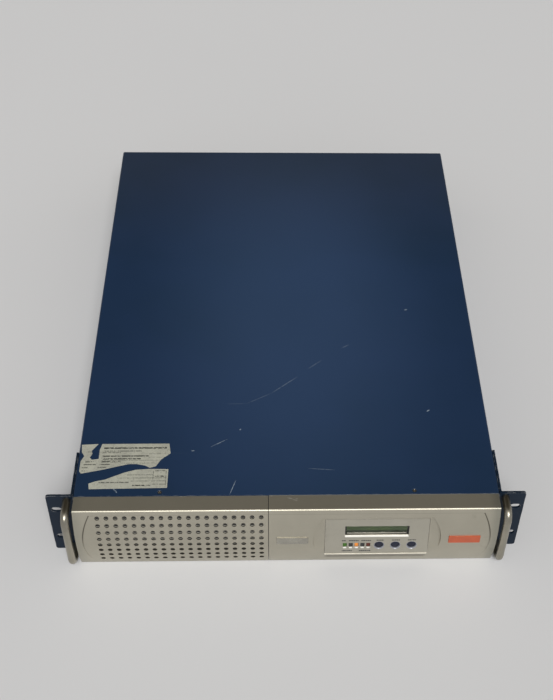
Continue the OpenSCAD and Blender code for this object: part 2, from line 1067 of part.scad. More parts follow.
module board_standoffs() {
  color("#c2a35a")
    at_face()
      standoff_spots() {
        translate([0, 0, sheet])
          cylinder(r = 3.5, h = board_z - sheet, $fn = 6);
        bar_z([0, 0, board_z], 1.5, board_t);
        bar_z([0, 0, board_top], 2.8, 2);
      }
}

module heatsinks() {
  fins = 9;
  fin_t = 1.6;
  base_t = 5;
  fin_pitch = (sink_h - fin_t) / (fins - 1);
  color("#b9bcc0")
    at_face()
      for (x = sink_x)
        along_y(sink_y0, sink_y0 + sink_l) {
          translate([x, board_top])
            square([base_t, sink_h]);
          for (i = [0 : fins - 1])
            translate([x + base_t - eps, board_top + i * fin_pitch])
              square([sink_w - base_t, fin_t]);
        }
}

module transistor_spots() {
  for (x = sink_x, i = [0 : transistor_n - 1])
    translate([x, sink_y0 + 25 + i * 46, board_top + 14])
      children();
}

module power_transistors() {
  color("#1f2022")
    at_face()
      transistor_spots() {
        difference() {
          box(-5, 0, -8, 8, 0, 21);
          bar_x([-6, 0, 16], 1.8, 7);
        }
        for (dy = [-5.4, 0, 5.4])
          box(-3, -2.2, dy - 0.6, dy + 0.6, -14, 0);
      }
}

module bus_capacitors() {
  r = 15;
  h = 50;
  color("#26303c")
    at_face()
      for (i = [0 : 3])
        translate([86, 250 + i * 36, board_top]) {
          cylinder(r = r, h = 3);
          bar_z([0, 0, 3], r - 0.8, 2);
          bar_z([0, 0, 5], r, h - 5);
        }
}

module choke_spots() {
  for (x = [40, 104, 168])
    translate([x, 180, board_top + 27])
      rotate([90, 0, 0])
        children();
}

module choke_cores() {
  color("#3f6a4c")
    at_face()
      choke_spots()
        rotate_extrude()
          translate([13, -8])
            square([10, 16]);
}

module choke_windings() {
  turns = 14;
  color("#b06a34")
    at_face()
      choke_spots()
        for (i = [0 : turns - 1])
          rotate([0, 0, 30 + i * 300 / (turns - 1)])
            difference() {
              translate([10.6, -1.1, -10.4])
                cube([14.8, 2.2, 20.8]);
              translate([13 - fit_gap, -2, -8 - fit_gap])
                cube([10 + 2 * fit_gap, 4, 16 + 2 * fit_gap]);
            }
}

module transformer_core() {
  color("#35373a")
    at_face()
      translate([100, 480, board_top])
        difference() {
          box(-30, 30, -10, 10, 1, 55);
          for (sx = [-1, 1])
            box(sx * 14 - 7, sx * 14 + 7, -11, 11, 9, 47);
        }
}

module transformer_coil() {
  color("#c9a24a")
    at_face()
      translate([100, 480, board_top])
        difference() {
          box(-19, 19, -20, 20, 10, 46);
          box(-7 - fit_gap, 7 + fit_gap, -10 - fit_gap, 10 + fit_gap, 9, 47);
        }
}

module relays() {
  color("#2b2c30")
    at_face()
      for (x = [6, 26, 46], y = [470, 505])
        box(x, x + 14, y, y + 28, board_top, board_top + 24);
}

module control_board() {
  x = 190;
  color("#24533a")
    at_face() {
      difference() {
        box(x, x + board_t, 240, 420, board_top + 6, board_top + 62);
        for (y = [248, 412])
          bar_x([x - 1, y, board_top + 56], 1.6, 4);
      }
      box(x - 3, x + 5, 260, 400, board_top, board_top + 6);
      for (i = [0 : 3])
        box(x - 2.4, x, 262 + i * 38, 286 + i * 38, board_top + 24, board_top + 40);
    }
}

// ---- Rear panel and what it carries ----

module fan_spots() {
  for (x = fan_x)
    translate([x, 0, fan_z])
      children();
}

module socket_spots() {
  for (i = [0 : socket_cols - 1], z = socket_z)
    translate([socket_x0 + i * socket_pitch_x, 0, z])
      children();
}

inlet_screw = 20;
comm_screw = comm_w / 2 - 4;
port_screw = 12.5;

module rear_panel() {
  w = inner_half - fit_gap;
  color("#243450")
    at_face()
      difference() {
        union() {
          box(-w, w, rear_y, chassis_d, sheet + fit_gap, flange_top);
          box(-w, w, rear_y - flange_w, chassis_d, flange_top - sheet, flange_top);
          for (side = [-1, 1])
            scale([side, 1, 1])
              box(w - sheet, w, rear_y - flange_w, chassis_d, sheet + fit_gap, flange_top);
        }
        fan_spots() {
          bar_y([0, rear_y - 1, 0], fan_bore / 2, 4);
          four(fan_hole, fan_hole)
            bar_y([0, rear_y - 1, 0], 2.1, 4);
        }
        socket_spots()
          box(-14, 14, rear_y - 1, chassis_d + 1, -10.5, 10.5);
        translate([inlet_x, 0, inlet_z]) {
          box(-14, 14, rear_y - 1, chassis_d + 1, -10.5, 10.5);
          for (side = [-1, 1])
            bar_y([side * inlet_screw, rear_y - 1, 0], 1.7, 4);
        }
        bar_y([inlet_x, rear_y - 1, breaker_z], 6.1, 4);
        translate([comm_x, 0, comm_z]) {
          box(-comm_w / 2 + 9, comm_w / 2 - 9, rear_y - 1, chassis_d + 1, -comm_h / 2 + 4,
            comm_h / 2 - 4);
          for (side = [-1, 1])
            bar_y([side * comm_screw, rear_y - 1, 0], 1.6, 4);
        }
        translate([comm_x, 0, port_z]) {
          box(-9.6, 9.6, rear_y - 1, chassis_d + 1, -5.6, 5.6);
          for (side = [-1, 1])
            bar_y([side * port_screw, rear_y - 1, 0], 1.7, 4);
        }
      }
}

module fan_frames() {
  hub_r = fan_hub_d / 2;
  strut = 3.6;
  color("#1c1d1f")
    at_face()
      fan_spots() {
        difference() {
          along_y(fan_y0, fan_y1)
            rounded_rect(fan_size, fan_size, 4);
          bar_y([0, fan_y0 - 1, 0], fan_bore / 2, fan_depth + 2);
          four(fan_hole, fan_hole)
            bar_y([0, fan_y0 - 1, 0], 2.1, fan_depth + 2);
        }
        difference() {
          union() {
            bar_y([0, fan_y1 - strut, 0], hub_r, strut);
            for (a = [45 : 90 : 315])
              rotate([0, a, 0])
                box(hub_r - 1, fan_bore / 2 + 1, fan_y1 - strut, fan_y1, -2, 2);
            bar_y([0, fan_y1 - 12, 0], 4, 12);
          }
          bar_y([0, fan_y1 - 14, 0], fan_shaft_d / 2 + 0.05, 12);
        }
      }
}

module fan_rotor(i) {
  hub_r = fan_hub_d / 2 - 1;
  tip_r = fan_bore / 2 - 1.4;
  front = fan_y0 + 1.5;
  depth = fan_depth - 8;
  color("#26272a")
    at_face()
      translate([fan_x[i], 0, fan_z]) {
        difference() {
          bar_y([0, front, 0], hub_r, depth);
          bar_y([0, front + 3, 0], hub_r - 2, depth);
        }
        bar_y([0, front + 2, 0], fan_shaft_d / 2, fan_depth - 6);
        intersection() {
          for (k = [0 : fan_blades - 1])
            rotate([0, k * 360 / fan_blades, 0])
              translate([hub_r - 0.8, front + depth / 2, 0])
                rotate([38, 0, 0])
                  box(0, tip_r - hub_r + 3, -0.9, 0.9, -10.5, 10.5);
          bar_y([0, front, 0], tip_r, depth);
        }
      }
}

module fan_rotor_1() {
  fan_rotor(0);
}

module fan_rotor_2() {
  fan_rotor(1);
}

module fan_guards() {
  wire = 0.9;
  y = chassis_d + wire;
  foot_r = 4;
  color("silver")
    at_face()
      fan_spots() {
        translate([0, y, 0])
          rotate([90, 0, 0])
            for (r = [10, 18, 26, 34])
              rotate_extrude()
                translate([r, 0])
                  circle(wire, $fn = 24);
        for (a = [45 : 90 : 315])
          rotate([0, a, 0])
            bar_x([8, y, 0], wire, fan_hole * sqrt(2) - 11);
        four(fan_hole, fan_hole)
          difference() {
            bar_y([0, chassis_d, 0], foot_r, 2 * wire);
            bar_y([0, chassis_d - 1, 0], 2.1, 4);
          }
      }
}

module rear_screws() {
  color("silver")
    at_face()
      translate([0, chassis_d, 0])
        rotate([-90, 0, 0]) {
          for (x = fan_x, sx = [-1, 1], sz = [-1, 1])
            translate([x + sx * fan_hole, -(fan_z + sz * fan_hole), 1.8])
              pan_screw(1.9, 3.6, 2, 14);
          for (side = [-1, 1]) {
            translate([inlet_x + side * inlet_screw, -inlet_z, 2.4])
              pan_screw(1.5, 2.8, 1.6, 6);
            translate([comm_x + side * comm_screw, -comm_z, sheet])
              pan_screw(1.5, 3.4, 2.4, 5);
            translate([comm_x + side * port_screw, -port_z, 0.8])
              pan_screw(1.5, 2.4, 4.6, 5);
          }
        }
}

// The appliance inlet: a shroud with three pins, behind a flange with two screws
module power_inlet() {
  color("#17181a")
    at_face()
      translate([inlet_x, 0, inlet_z]) {
        difference() {
          union() {
            along_y(chassis_d, chassis_d + 2.4)
              rounded_rect(49, 23, 4);
            box(-13.8, 13.8, rear_y - 18, chassis_d + 1, -10.3, 10.3);
          }
          box(-12, 12, chassis_d - 14, chassis_d + 4, -8, 8);
          for (side = [-1, 1])
            bar_y([side * inlet_screw, rear_y - 3, 0], 1.7, 8);
        }
        for (p = [[-7, -2], [0, 2], [7, -2]])
          translate([p[0], 0, p[1]])
            box(-1, 1, chassis_d - 14.5, chassis_d - 1, -2, 2);
        for (x = [-7, 0, 7])
          box(x - 3.2, x + 3.2, rear_y - 26, rear_y - 17.5, -0.4, 0.4);
      }
}

// Appliance outlets: a raised body with a slot for each contact
module output_sockets() {
  color("#17181a")
    at_face()
      socket_spots() {
        difference() {
          union() {
            along_y(chassis_d, chassis_d + 2)
              rounded_rect(31.5, 25, 1.5);
            box(-13.8, 13.8, rear_y - 20, chassis_d + 1, -10.3, 10.3);
          }
          difference() {
            box(-12.4, 12.4, chassis_d - 16, chassis_d + 3, -8.4, 8.4);
            box(-9.9, 9.9, chassis_d - 17, chassis_d + 3, -5.9, 5.9);
          }
          for (p = [[-7, -2], [0, 2], [7, -2]])
            translate([p[0], 0, p[1]])
              box(-1.3, 1.3, chassis_d - 14, chassis_d + 3, -2.4, 2.4);
        }
      }
}

breaker_neck = 5;

module circuit_breaker() {
  color("#202226")
    at_face()
      translate([inlet_x, 0, breaker_z])
        difference() {
          union() {
            box(-8, 8, rear_y - 34, rear_y, -15, 15);
            bar_y([0, rear_y - 1, 0], 5.9, sheet + 1 + breaker_neck);
            translate([0, chassis_d, 0])
              rotate([-90, 0, 0])
                cylinder(r = 9, h = 2.6, $fn = 6);
          }
          bar_y([0, rear_y - 8, 0], 3.6, 30);
        }
}

module breaker_button() {
  color("#d9d7cf")
    at_face()
      translate([inlet_x, 0, breaker_z])
        bar_y([0, chassis_d - 3.5, 0], 3.3, rear_reach + 3.5);
}

module serial_port() {
  color("#b9bcc0")
    at_face()
      translate([comm_x, 0, port_z]) {
        difference() {
          union() {
            along_y(chassis_d, chassis_d + 0.8)
              rounded_rect(31, 12.5, 1.5);
            box(-9.3, 9.3, rear_y - 10, chassis_d + 0.4, -5.3, 5.3);
            along_y(chassis_d, chassis_d + 6)
              rounded_rect(17, 8.4, 2.4);
          }
          for (side = [-1, 1])
            bar_y([side * port_screw, rear_y - 2, 0], 1.7, 6);
          for (i = [-2 : 2])
            bar_y([i * 2.75, chassis_d - 4, 1.4], 0.6, 12);
          for (i = [-1.5 : 1.5])
            bar_y([i * 2.75, chassis_d - 4, -1.4], 0.6, 12);
        }
      }
}

module slot_cover() {
  color("#2a3a55")
    at_face()
      translate([comm_x, 0, comm_z])
        difference() {
          box(-comm_w / 2, comm_w / 2, chassis_d, chassis_d + sheet, -comm_h / 2, comm_h / 2);
          for (side = [-1, 1])
            bar_y([side * comm_screw, chassis_d - 1, 0], 1.6, 4);
        }
}

chassis_base();
top_cover();
rear_panel();
cover_screws();
left_ear();
right_ear();
ear_screws();
left_handle();
right_handle();
handle_screws();
drawer_rails();
bay_divider();
battery_tray();
drawer_plate();
drawer_pull();
drawer_screws();
battery_1();
battery_2();
battery_3();
battery_4();
battery_terminals();
battery_leads();
battery_plug();
battery_socket();
front_cover();
cover_filter();
front_bezel();
display_panel();
lcd_module();
lcd_lens();
display_board();
status_leds();
button_1();
button_2();
button_3();
badge();
model_tag();
rating_label();
main_board();
board_standoffs();
heatsinks();
power_transistors();
bus_capacitors();
choke_cores();
choke_windings();
transformer_core();
transformer_coil();
relays();
control_board();
fan_frames();
fan_rotor_1();
fan_rotor_2();
fan_guards();
rear_screws();
power_inlet();
output_sockets();
circuit_breaker();
breaker_button();
serial_port();
slot_cover();
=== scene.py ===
import math
import random

import bmesh
import bpy
from mathutils import Matrix, Vector


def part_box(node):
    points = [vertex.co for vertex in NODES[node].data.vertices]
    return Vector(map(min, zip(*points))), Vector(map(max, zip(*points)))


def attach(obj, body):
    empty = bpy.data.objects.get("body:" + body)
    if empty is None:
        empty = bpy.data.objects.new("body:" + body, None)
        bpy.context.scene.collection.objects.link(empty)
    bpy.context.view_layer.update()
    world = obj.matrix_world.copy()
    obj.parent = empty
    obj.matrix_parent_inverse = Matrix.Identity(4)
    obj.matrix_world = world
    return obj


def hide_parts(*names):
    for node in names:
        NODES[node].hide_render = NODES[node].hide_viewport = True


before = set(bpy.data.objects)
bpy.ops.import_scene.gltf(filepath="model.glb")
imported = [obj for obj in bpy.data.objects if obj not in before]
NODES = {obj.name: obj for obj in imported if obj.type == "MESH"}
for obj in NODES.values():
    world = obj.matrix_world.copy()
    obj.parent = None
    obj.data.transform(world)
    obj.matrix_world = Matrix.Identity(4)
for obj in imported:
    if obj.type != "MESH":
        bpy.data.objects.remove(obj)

bpy.context.view_layer.update()

# Named places and sizes are in millimetres, but the two planes read from the frame are in metres, as
# Blender is. at() and MM turn millimetres into metres.
MM = 0.001
EAR_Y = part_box("left_ear")[0].y
REAR_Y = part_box("rear_panel")[1].y

# The front bows out on a circle: half its height, how far its middle stands out from its edges, and how
# far that middle lies before the ears
FRONT_HALF, FRONT_BULGE, FRONT_OUT = 43, 7.6, 26
BOW_R = (FRONT_HALF ** 2 + FRONT_BULGE ** 2) / (2 * FRONT_BULGE)
BOW_Y, BOW_Z = BOW_R - FRONT_OUT, 44

# The front's shallow field: its depth at mid height, how far its circle's centre is lower, the apex and
# radius of its round ends, and its upper edge
FIELD_DEPTH, FIELD_DROP = 0.45, 1.5
FIELD_APEX, FIELD_R, FIELD_TOP = 206, 84, 81.5
ARC_START = 196  # the round ends lie further out than this
VENT_X, VENT_Z = (-192.5, -23), (9, 81.5)  # the area of the vent holes
PANEL_X = 90.65  # middle of the display panel


def at(x, y, z=0):
    """A point in the frame, from millimetres across, behind the ears' front plane and up."""
    return Vector((x * MM, EAR_Y + y * MM, z * MM))


# ---- shading helpers

class Nodes:
    """Builds the nodes of one tree. A value is a constant or another node's output."""

    def __init__(self, tree):
        self.tree = tree

    def node(self, kind, inputs=None, **props):
        """A new node; inputs gives its sockets' values by name or place."""
        made = self.tree.nodes.new(kind)
        for key, value in props.items():
            setattr(made, key, value)
        for key, value in (inputs or {}).items():
            self.put(made.inputs[key], value)
        return made

    def put(self, socket, value):
        """Gives a socket a constant, or links another node's output to it."""
        if isinstance(value, bpy.types.NodeSocket):
            self.tree.links.new(value, socket)
        elif socket.type == "RGBA" and len(value) == 3:
            socket.default_value = (*value, 1)
        else:
            socket.default_value = value

    def math(self, op, a, b=0, clamp=False):
        return self.node("ShaderNodeMath", {0: a, 1: b}, operation=op, use_clamp=clamp).outputs[0]

    def times(self, a, b):
        return self.math("MULTIPLY", a, b)

    def far_from(self, value, middle):
        """How far a value is from another, without its sign."""
        return self.math("ABSOLUTE", self.math("SUBTRACT", value, middle))

    def between(self, value, low, high):
        """1 where a value lies between two limits."""
        return self.times(self.math("GREATER_THAN", value, low), self.math("LESS_THAN", value, high))

    def most(self, values):
        """The largest of several values."""
        best, *others = values
        for value in others:
            best = self.math("MAXIMUM", best, value)
        return best

    def weighted(self, start, *parts):
        """A number plus each value times its weight."""
        total = start
        for value, weight in parts:
            total = self.math("ADD", self.times(value, weight), total)
        return total

    def share(self, value, low, high):
        """0 at low, 1 at high, and evenly in between."""
        return self.math("DIVIDE", self.math("SUBTRACT", value, low), high - low, clamp=True)

    def fade(self, value, low, high, to_low=0, to_high=1):
        """A smooth step as the value goes from low to high."""
        inputs = {"From Min": low, "From Max": high, "To Min": to_low, "To Max": to_high, "Value": value}
        return self.node("ShaderNodeMapRange", inputs, interpolation_type="SMOOTHSTEP").outputs[0]

    def vector(self, op, a, b=(0, 0, 0)):
        second = "Scale" if op == "SCALE" else 1
        made = self.node("ShaderNodeVectorMath", {0: a, second: b}, operation=op)
        return made.outputs["Value" if op in ("DOT_PRODUCT", "LENGTH") else "Vector"]

    def split(self, v):
        return self.node("ShaderNodeSeparateXYZ", {0: v}).outputs

    def joined(self, x, y):
        return self.node("ShaderNodeCombineXYZ", {0: x, 1: y}).outputs[0]

    def mix(self, share, a, b):
        return self.node("ShaderNodeMix", {0: share, 6: a, 7: b}, data_type="RGBA").outputs[2]

    def layer(self, colour, top, share, strength):
        """Lays a colour over another where share is 1, as strongly as given."""
        return self.mix(self.times(share, strength), colour, top)


class Shader(Nodes):
    """One procedural material, built node by node around a Principled shader."""

    def __init__(self, name):
        self.mat = bpy.data.materials.new(name)
        self.mat.use_nodes = True
        super().__init__(self.mat.node_tree)
        self.tree.nodes.clear()
        self.bsdf = self.node("ShaderNodeBsdfPrincipled")
        self.out = self.node("ShaderNodeOutputMaterial", {0: self.bsdf.outputs[0]})
        self.here = self.node("ShaderNodeTexCoord").outputs["Object"]

    def set(self, **values):
        """Sets the Principled shader's inputs by name."""
        for key, value in values.items():
            self.put(self.bsdf.inputs[key.replace("_", " ")], value)
        return self

    def millimetres(self):
        """The shaded point across, behind the ears' front plane and up, in millimetres."""
        return self.split(self.vector("SCALE", self.vector("SUBTRACT", self.here, at(0, 0)), 1 / MM))

    def noise(self, scale, detail=2, rough=0.5, stretch=None, warp=0, seed=0):
        """Noise from 0 to 1; scale is in features per metre."""
        where = self.vector("MULTIPLY", self.here, stretch) if stretch else self.here
        inputs = {"Vector": where, "W": seed, "Scale": scale, "Detail": detail, "Roughness": rough,
                  "Distortion": warp}
        return self.node("ShaderNodeTexNoise", inputs, noise_dimensions="4D").outputs[0]

    def patches(self, scale, low, high, detail=4, rough=0.7, **more):
        """Soft-edged patches, 1 where a noise is above high and 0 below low."""
        return self.fade(self.noise(scale, detail, rough, **more), low, high)

    def cells(self, scale, feature="F1", output="Distance", scatter=1):
        """Cells with scale of them per metre."""
        inputs = {"Vector": self.here, "Scale": scale, "Randomness": scatter}
        return self.node("ShaderNodeTexVoronoi", inputs, feature=feature).outputs[output]

    def dots(self, scale, size, core=0):
        """Scattered dots: 1 within core of their middles, 0 beyond size."""
        return self.fade(self.cells(scale), core, size, 1, 0)

    def bump(self, height, depth, strength=0.5):
        """Relief from a 0 to 1 height; depth in metres."""
        inputs = {"Strength": strength, "Distance": depth, "Height": height}
        return self.node("ShaderNodeBump", inputs).outputs[0]

    def edges(self, radius, low=0.02, high=0.25):
        """1 within a radius in metres of an edge, 0 on flat faces."""
        soft = self.node("ShaderNodeBevel", {"Radius": radius}, samples=4).outputs[0]
        true = self.node("ShaderNodeNewGeometry").outputs["Normal"]
        turn = self.math("SUBTRACT", 1, self.vector("DOT_PRODUCT", soft, true))
        return self.fade(turn, low, high)

    def edge_wear(self, radius):
        """Edges, broken up by noise."""
        return self.times(self.edges(radius), self.patches(140, 0.46, 0.6, 3, 0.65, seed=3))

    def along_segment(self, a, b, width):
        """1 near the segment from a to b, seen from above, narrower towards both ends.

        The ends are millimetres across and behind the ears, and the width is in millimetres.
        """
        a, b = (Vector((*at(*end).xy, 0)) for end in (a, b))
        run = b - a
        off = self.vector("SUBTRACT", self.vector("MULTIPLY", self.here, (1, 1, 0)), a)
        share = self.math("DIVIDE", self.vector("DOT_PRODUCT", off, run), run.length_squared, clamp=True)
        far = self.vector("LENGTH", self.vector("SUBTRACT", off, self.vector("SCALE", tuple(run), share)))
        taper = self.fade(self.far_from(share, 0.5), 0.2, 0.5, 1, 0.25)
        return self.fade(self.math("DIVIDE", far, taper), width * MM * 0.4, width * MM, 1, 0)


# ---- materials

# Linear colours
BLUE, BLUE_DEEP = (0.0125, 0.033, 0.084), (0.0085, 0.027, 0.064)
# The next two colours are painted light on the cover: a highlight round its middle, shade towards its back
BLUE_HIGHLIGHT, BLUE_SHADE = (0.044, 0.084, 0.18), (0.05, 0.046, 0.034)
BLUE_HAIR, BLUE_WORN, BLUE_SCRATCHED = (0.1, 0.13, 0.19), (0.22, 0.24, 0.27), (0.44, 0.52, 0.6)
SILVER, SILVER_DEEP, SILVER_FLAKE = (0.466, 0.436, 0.357), (0.417, 0.39, 0.319), (0.52, 0.5, 0.44)
SILVER_DULL, SILVER_CHIP, SILVER_RUBBED = (0.2, 0.21, 0.18), (0.74, 0.72, 0.64), (0.74, 0.72, 0.66)
# The second colour here is painted shade at the vent holes' rims
BARE_PLASTIC, VENT_SHADE = (0.5, 0.49, 0.44), (0.022, 0.02, 0.016)
DUST, DUST_BLUE = (0.45, 0.44, 0.4), (0.35, 0.36, 0.38)
# The second colour here is painted shade for the front's creases; the first is dirt
GRIME, CREASE_SHADE = (0.17, 0.155, 0.12), (0.07, 0.062, 0.048)
PAPER, PAPER_DEEP, PAPER_FOLD = (0.64, 0.645, 0.55), (0.5, 0.505, 0.44), (0.2, 0.2, 0.17)

# The cover's painted highlight is a paler patch round this point
PAINTED_HIGHLIGHT_CENTRE = (10, 275, 87.5)  # middle of the cover's paler patch

# Scratches on the cover: start and end (across, behind the ears), width, strength
SCRATCHES = (
    ((24.6, 175.4), (39.8, 188.3), 0.55, 0.2),
    ((-63.8, 123.4), (-42.8, 123.7), 0.45, 0.1),
    ((-42.8, 123.7), (-16, 138.8), 0.5, 0.16),
    ((-16, 138.8), (12.5, 163.2), 0.6, 0.24),
    ((-58.1, 0.9), (-52.2, 18.9), 0.5, 0.6),
    ((21.3, 33.9), (48.6, 31.6), 0.45, 0.24),
    ((-79, 63.4), (-62.3, 73.5), 0.55, 0.5),
    ((62.6, 207.4), (71.9, 213.1), 0.8, 0.16),
    ((-49.4, 86.2), (-47.8, 87.8), 1.1, 0.85),
    ((150.4, 111.2), (153.6, 113.4), 1, 0.55),
    ((139, 270), (142.6, 271.2), 1.3, 0.35),
    ((-99, 58), (-95.5, 58.4), 0.7, 0.55),
    ((-175, 10), (-170.5, 4.2), 0.9, 0.6),
)

# Scuffs on the flat top of the front: start, end, width
SCUFFS = (
    ((-0.8, -3), (5.4, -4.8), 1), ((5, -5.4), (11, -7.4), 1), ((7.6, -4.6), (10.4, -4.6), 0.7),
    ((-110.4, -0.8), (-101, -0.8), 0.7), ((-26, -0.8), (-21, -0.8), 0.8),
    ((-17.6, -1), (-15, -1.2), 0.8),
)

# Plain bars on the label: left and right end, distance behind the ears, height, darkness
PRINT_BARS = (
    (-188.7, -124.3, 62.3, 1.9, 1), (-190, -150, 58.3, 1.2, 0.81), (-190, -171, 56.2, 1.1, 0.75),
    (-190, -142, 51.6, 1.6, 0.94), (-190, -150, 47.9, 1.6, 0.94), (-190, -170, 44.2, 1.6, 0.94),
    (-191, -181, 40.6, 1.4, 0.81), (-206, -197.5, 44.2, 1.4, 0.81), (-207.5, -195, 40.6, 1.4, 0.81),
    (-208.5, -203, 36.6, 1.4, 0.75), (-193, -184, 36.9, 1.3, 0.75), (-209, -204, 32.4, 1.2, 0.69),
    (-206, -200, 57.4, 0.9, 0.62), (-134, -124.5, 25, 1.6, 0.88), (-134, -124, 32, 1.2, 0.75),
    (-190, -160, 17.2, 1.5, 0.75), (-156, -138, 13.2, 1.5, 1),
)

# Its ruled lines, given the same way
PRINT_RULES = (
    (-142, -122, 54.3, 0.6, 0.75), (-142, -125, 49.9, 0.6, 0.75), (-190, -132, 45.9, 0.6, 0.69),
    (-170, -135, 42.2, 0.6, 0.69), (-163, -136, 26.8, 0.6, 1), (-172, -123.5, 22.8, 0.6, 1),
    (-158, -123.5, 18.9, 0.6, 0.94), (-136, -123.5, 14.7, 0.6, 0.94), (-136.2, -135.6, 26, 11, 0.88),
    (-123.3, -122.7, 22, 22, 0.81),
)


def painted(name, base, second, rough, metallic=0, mottle=9, grain=2600, relief=2e-5,
            wear=None, wear_radius=0.0012, specks=0, coat=0, brushed=None, dirt=None, gleam=0.5):
    """A material with slow colour changes, fine grain in its gloss and relief, and worn edges.

    wear is the colour of worn edges, specks the strength of dust, dirt a colour with its strength, and
    brushed how the grain is stretched. relief and wear_radius are in metres.
    """
    fine_gloss, slow_gloss = 0.12, 0.06
    s = Shader(name)
    slow = s.noise(mottle, 4, 0.6, seed=1)
    fine = s.noise(grain, 3, 0.6, stretch=brushed, seed=2)
    colour = s.mix(s.fade(slow, 0.3, 0.7), base, second)
    colour = s.layer(colour, tuple(min(1, c * 1.6 + 0.01) for c in base), fine, 0.16)
    gloss = s.weighted(rough - (fine_gloss + slow_gloss) / 2, (fine, fine_gloss), (slow, slow_gloss))
    if specks:
        dust = s.times(s.dots(420, 0.1), s.patches(30, 0.52, 0.66, 2, 0.5, seed=5))
        colour = s.layer(colour, DUST, dust, specks)
    if dirt:
        film = s.patches(22, 0.5, 0.78, 5, warp=0.6, seed=7)
        colour = s.layer(colour, dirt[:3], film, dirt[3])
        gloss = s.weighted(gloss, (film, 0.1))
    if wear:
        edge = s.edge_wear(wear_radius)
        colour = s.mix(edge, colour, wear)
        gloss = s.weighted(gloss, (edge, -0.08))
    s.set(Base_Color=colour, Roughness=gloss, Metallic=metallic, Specular_IOR_Level=gleam,
          Normal=s.bump(fine, relief, 0.6))
    if coat:
        s.set(Coat_Weight=coat, Coat_Roughness=0.12)
    return s


def steel(name, base, rough=0.3, **more):
    """Bare or plated metal."""
    return painted(name, base, tuple(c * 0.82 for c in base), rough, metallic=1, grain=1800,
                   mottle=60, relief=1e-5, **more)


def moulded(name, base, rough=0.48, **more):
    """Moulded plastic or rubber."""
    return painted(name, base, tuple(c * 0.8 for c in base), rough, mottle=30, grain=2200,
                   relief=5e-5, **more)


def cover_paint():
    """Semi-gloss blue enamel with long scratches, rubbed edges, a film of dust, a painted highlight round
    its middle and painted shade towards its back.
    """
    s = Shader("cover_paint")
    slow = s.noise(5, 3, 0.55, seed=1)
    peel = s.noise(1500, 2, 0.5, seed=2)
    hair = s.patches(26, 0.6, 0.74, 5, 0.75, stretch=(1, 14, 1), warp=0.3, seed=4)
    colour = s.mix(s.fade(slow, 0.32, 0.68), BLUE, BLUE_DEEP)
    # painted highlight, paler round its middle, and painted shade, duller towards the back
    offset = s.vector("SUBTRACT", s.here, at(*PAINTED_HIGHLIGHT_CENTRE))
    ring = s.vector("LENGTH", s.vector("MULTIPLY", offset, (1, 0.48, 0)))
    colour = s.layer(colour, BLUE_HIGHLIGHT, s.fade(ring, 0.03, 0.21, 1, 0), 0.52)
    colour = s.layer(colour, BLUE_SHADE, s.fade(s.split(offset)[1], 0.045, 0.325), 0.26)
    colour = s.layer(colour, BLUE_HAIR, hair, 0.1)
    dust = s.times(s.dots(260, 0.05), s.patches(16, 0.55, 0.75, 2, 0.5, seed=6))
    colour = s.layer(colour, DUST_BLUE, dust, 0.28)
    marks = s.most([s.times(s.along_segment(a, b, width), strength) for a, b, width, strength in SCRATCHES])
    marks = s.times(marks, s.patches(320, 0.34, 0.52, seed=8))
    colour = s.mix(marks, colour, BLUE_SCRATCHED)
    colour = s.layer(colour, BLUE_WORN, s.edge_wear(0.001), 0.8)
    s.set(Base_Color=colour, Roughness=s.weighted(0.3, (peel, 0.1), (slow, 0.12), (dust, 0.2)),
          Normal=s.bump(s.weighted(peel, (marks, -3)), 1.8e-5), Specular_IOR_Level=0.42)
    return s


def vent_walls(s, x, z):
    """Depth in millimetres below the front's field, and 1 inside the area of the vent holes."""
    axis = at(0, BOW_Y, BOW_Z - FIELD_DROP)
    flat = s.vector("MULTIPLY", s.vector("SUBTRACT", s.here, axis), (0, 1, 1))
    deep = s.math("SUBTRACT", BOW_R - FIELD_DEPTH, s.math("DIVIDE", s.vector("LENGTH", flat), MM))
    return deep, s.times(s.between(x, *VENT_X), s.between(z, *VENT_Z))


def field_shade(s, x, z):
    """Painted shade in the step round the front's field, on both arcs and its top line, and a painted shadow
    under the display panel.
    """
    side = s.math("ABSOLUTE", x)
    out = s.vector("LENGTH", s.joined(s.math("SUBTRACT", side, FIELD_APEX - FIELD_R),
                                      s.math("SUBTRACT", z, BOW_Z)))
    # the arcs' painted shade grows fainter downwards, where the step turns towards the light
    arc = s.fade(s.far_from(out, FIELD_R - 0.2), 0.35, 0.9, 1, 0)
    arc = s.times(arc, s.times(s.math("GREATER_THAN", side, ARC_START), s.fade(z, 30, 62)))
    arc = s.times(arc, s.math("LESS_THAN", z, FIELD_TOP + 0.4))
    top = s.fade(s.far_from(z, FIELD_TOP), 0.2, 0.8, 0.38, 0)
    top = s.times(top, s.math("LESS_THAN", side, ARC_START + 2))
    # a painted shadow under the display panel: a soft band between the panel's lower edge and the front's
    under = s.times(s.fade(z, 8, 12.5), s.fade(z, 20.5, 22.5, 1, 0))
    under = s.times(under, s.fade(s.far_from(x, PANEL_X), 49, 54, 1, 0))
    return s.most([arc, top, s.times(under, 0.62)])


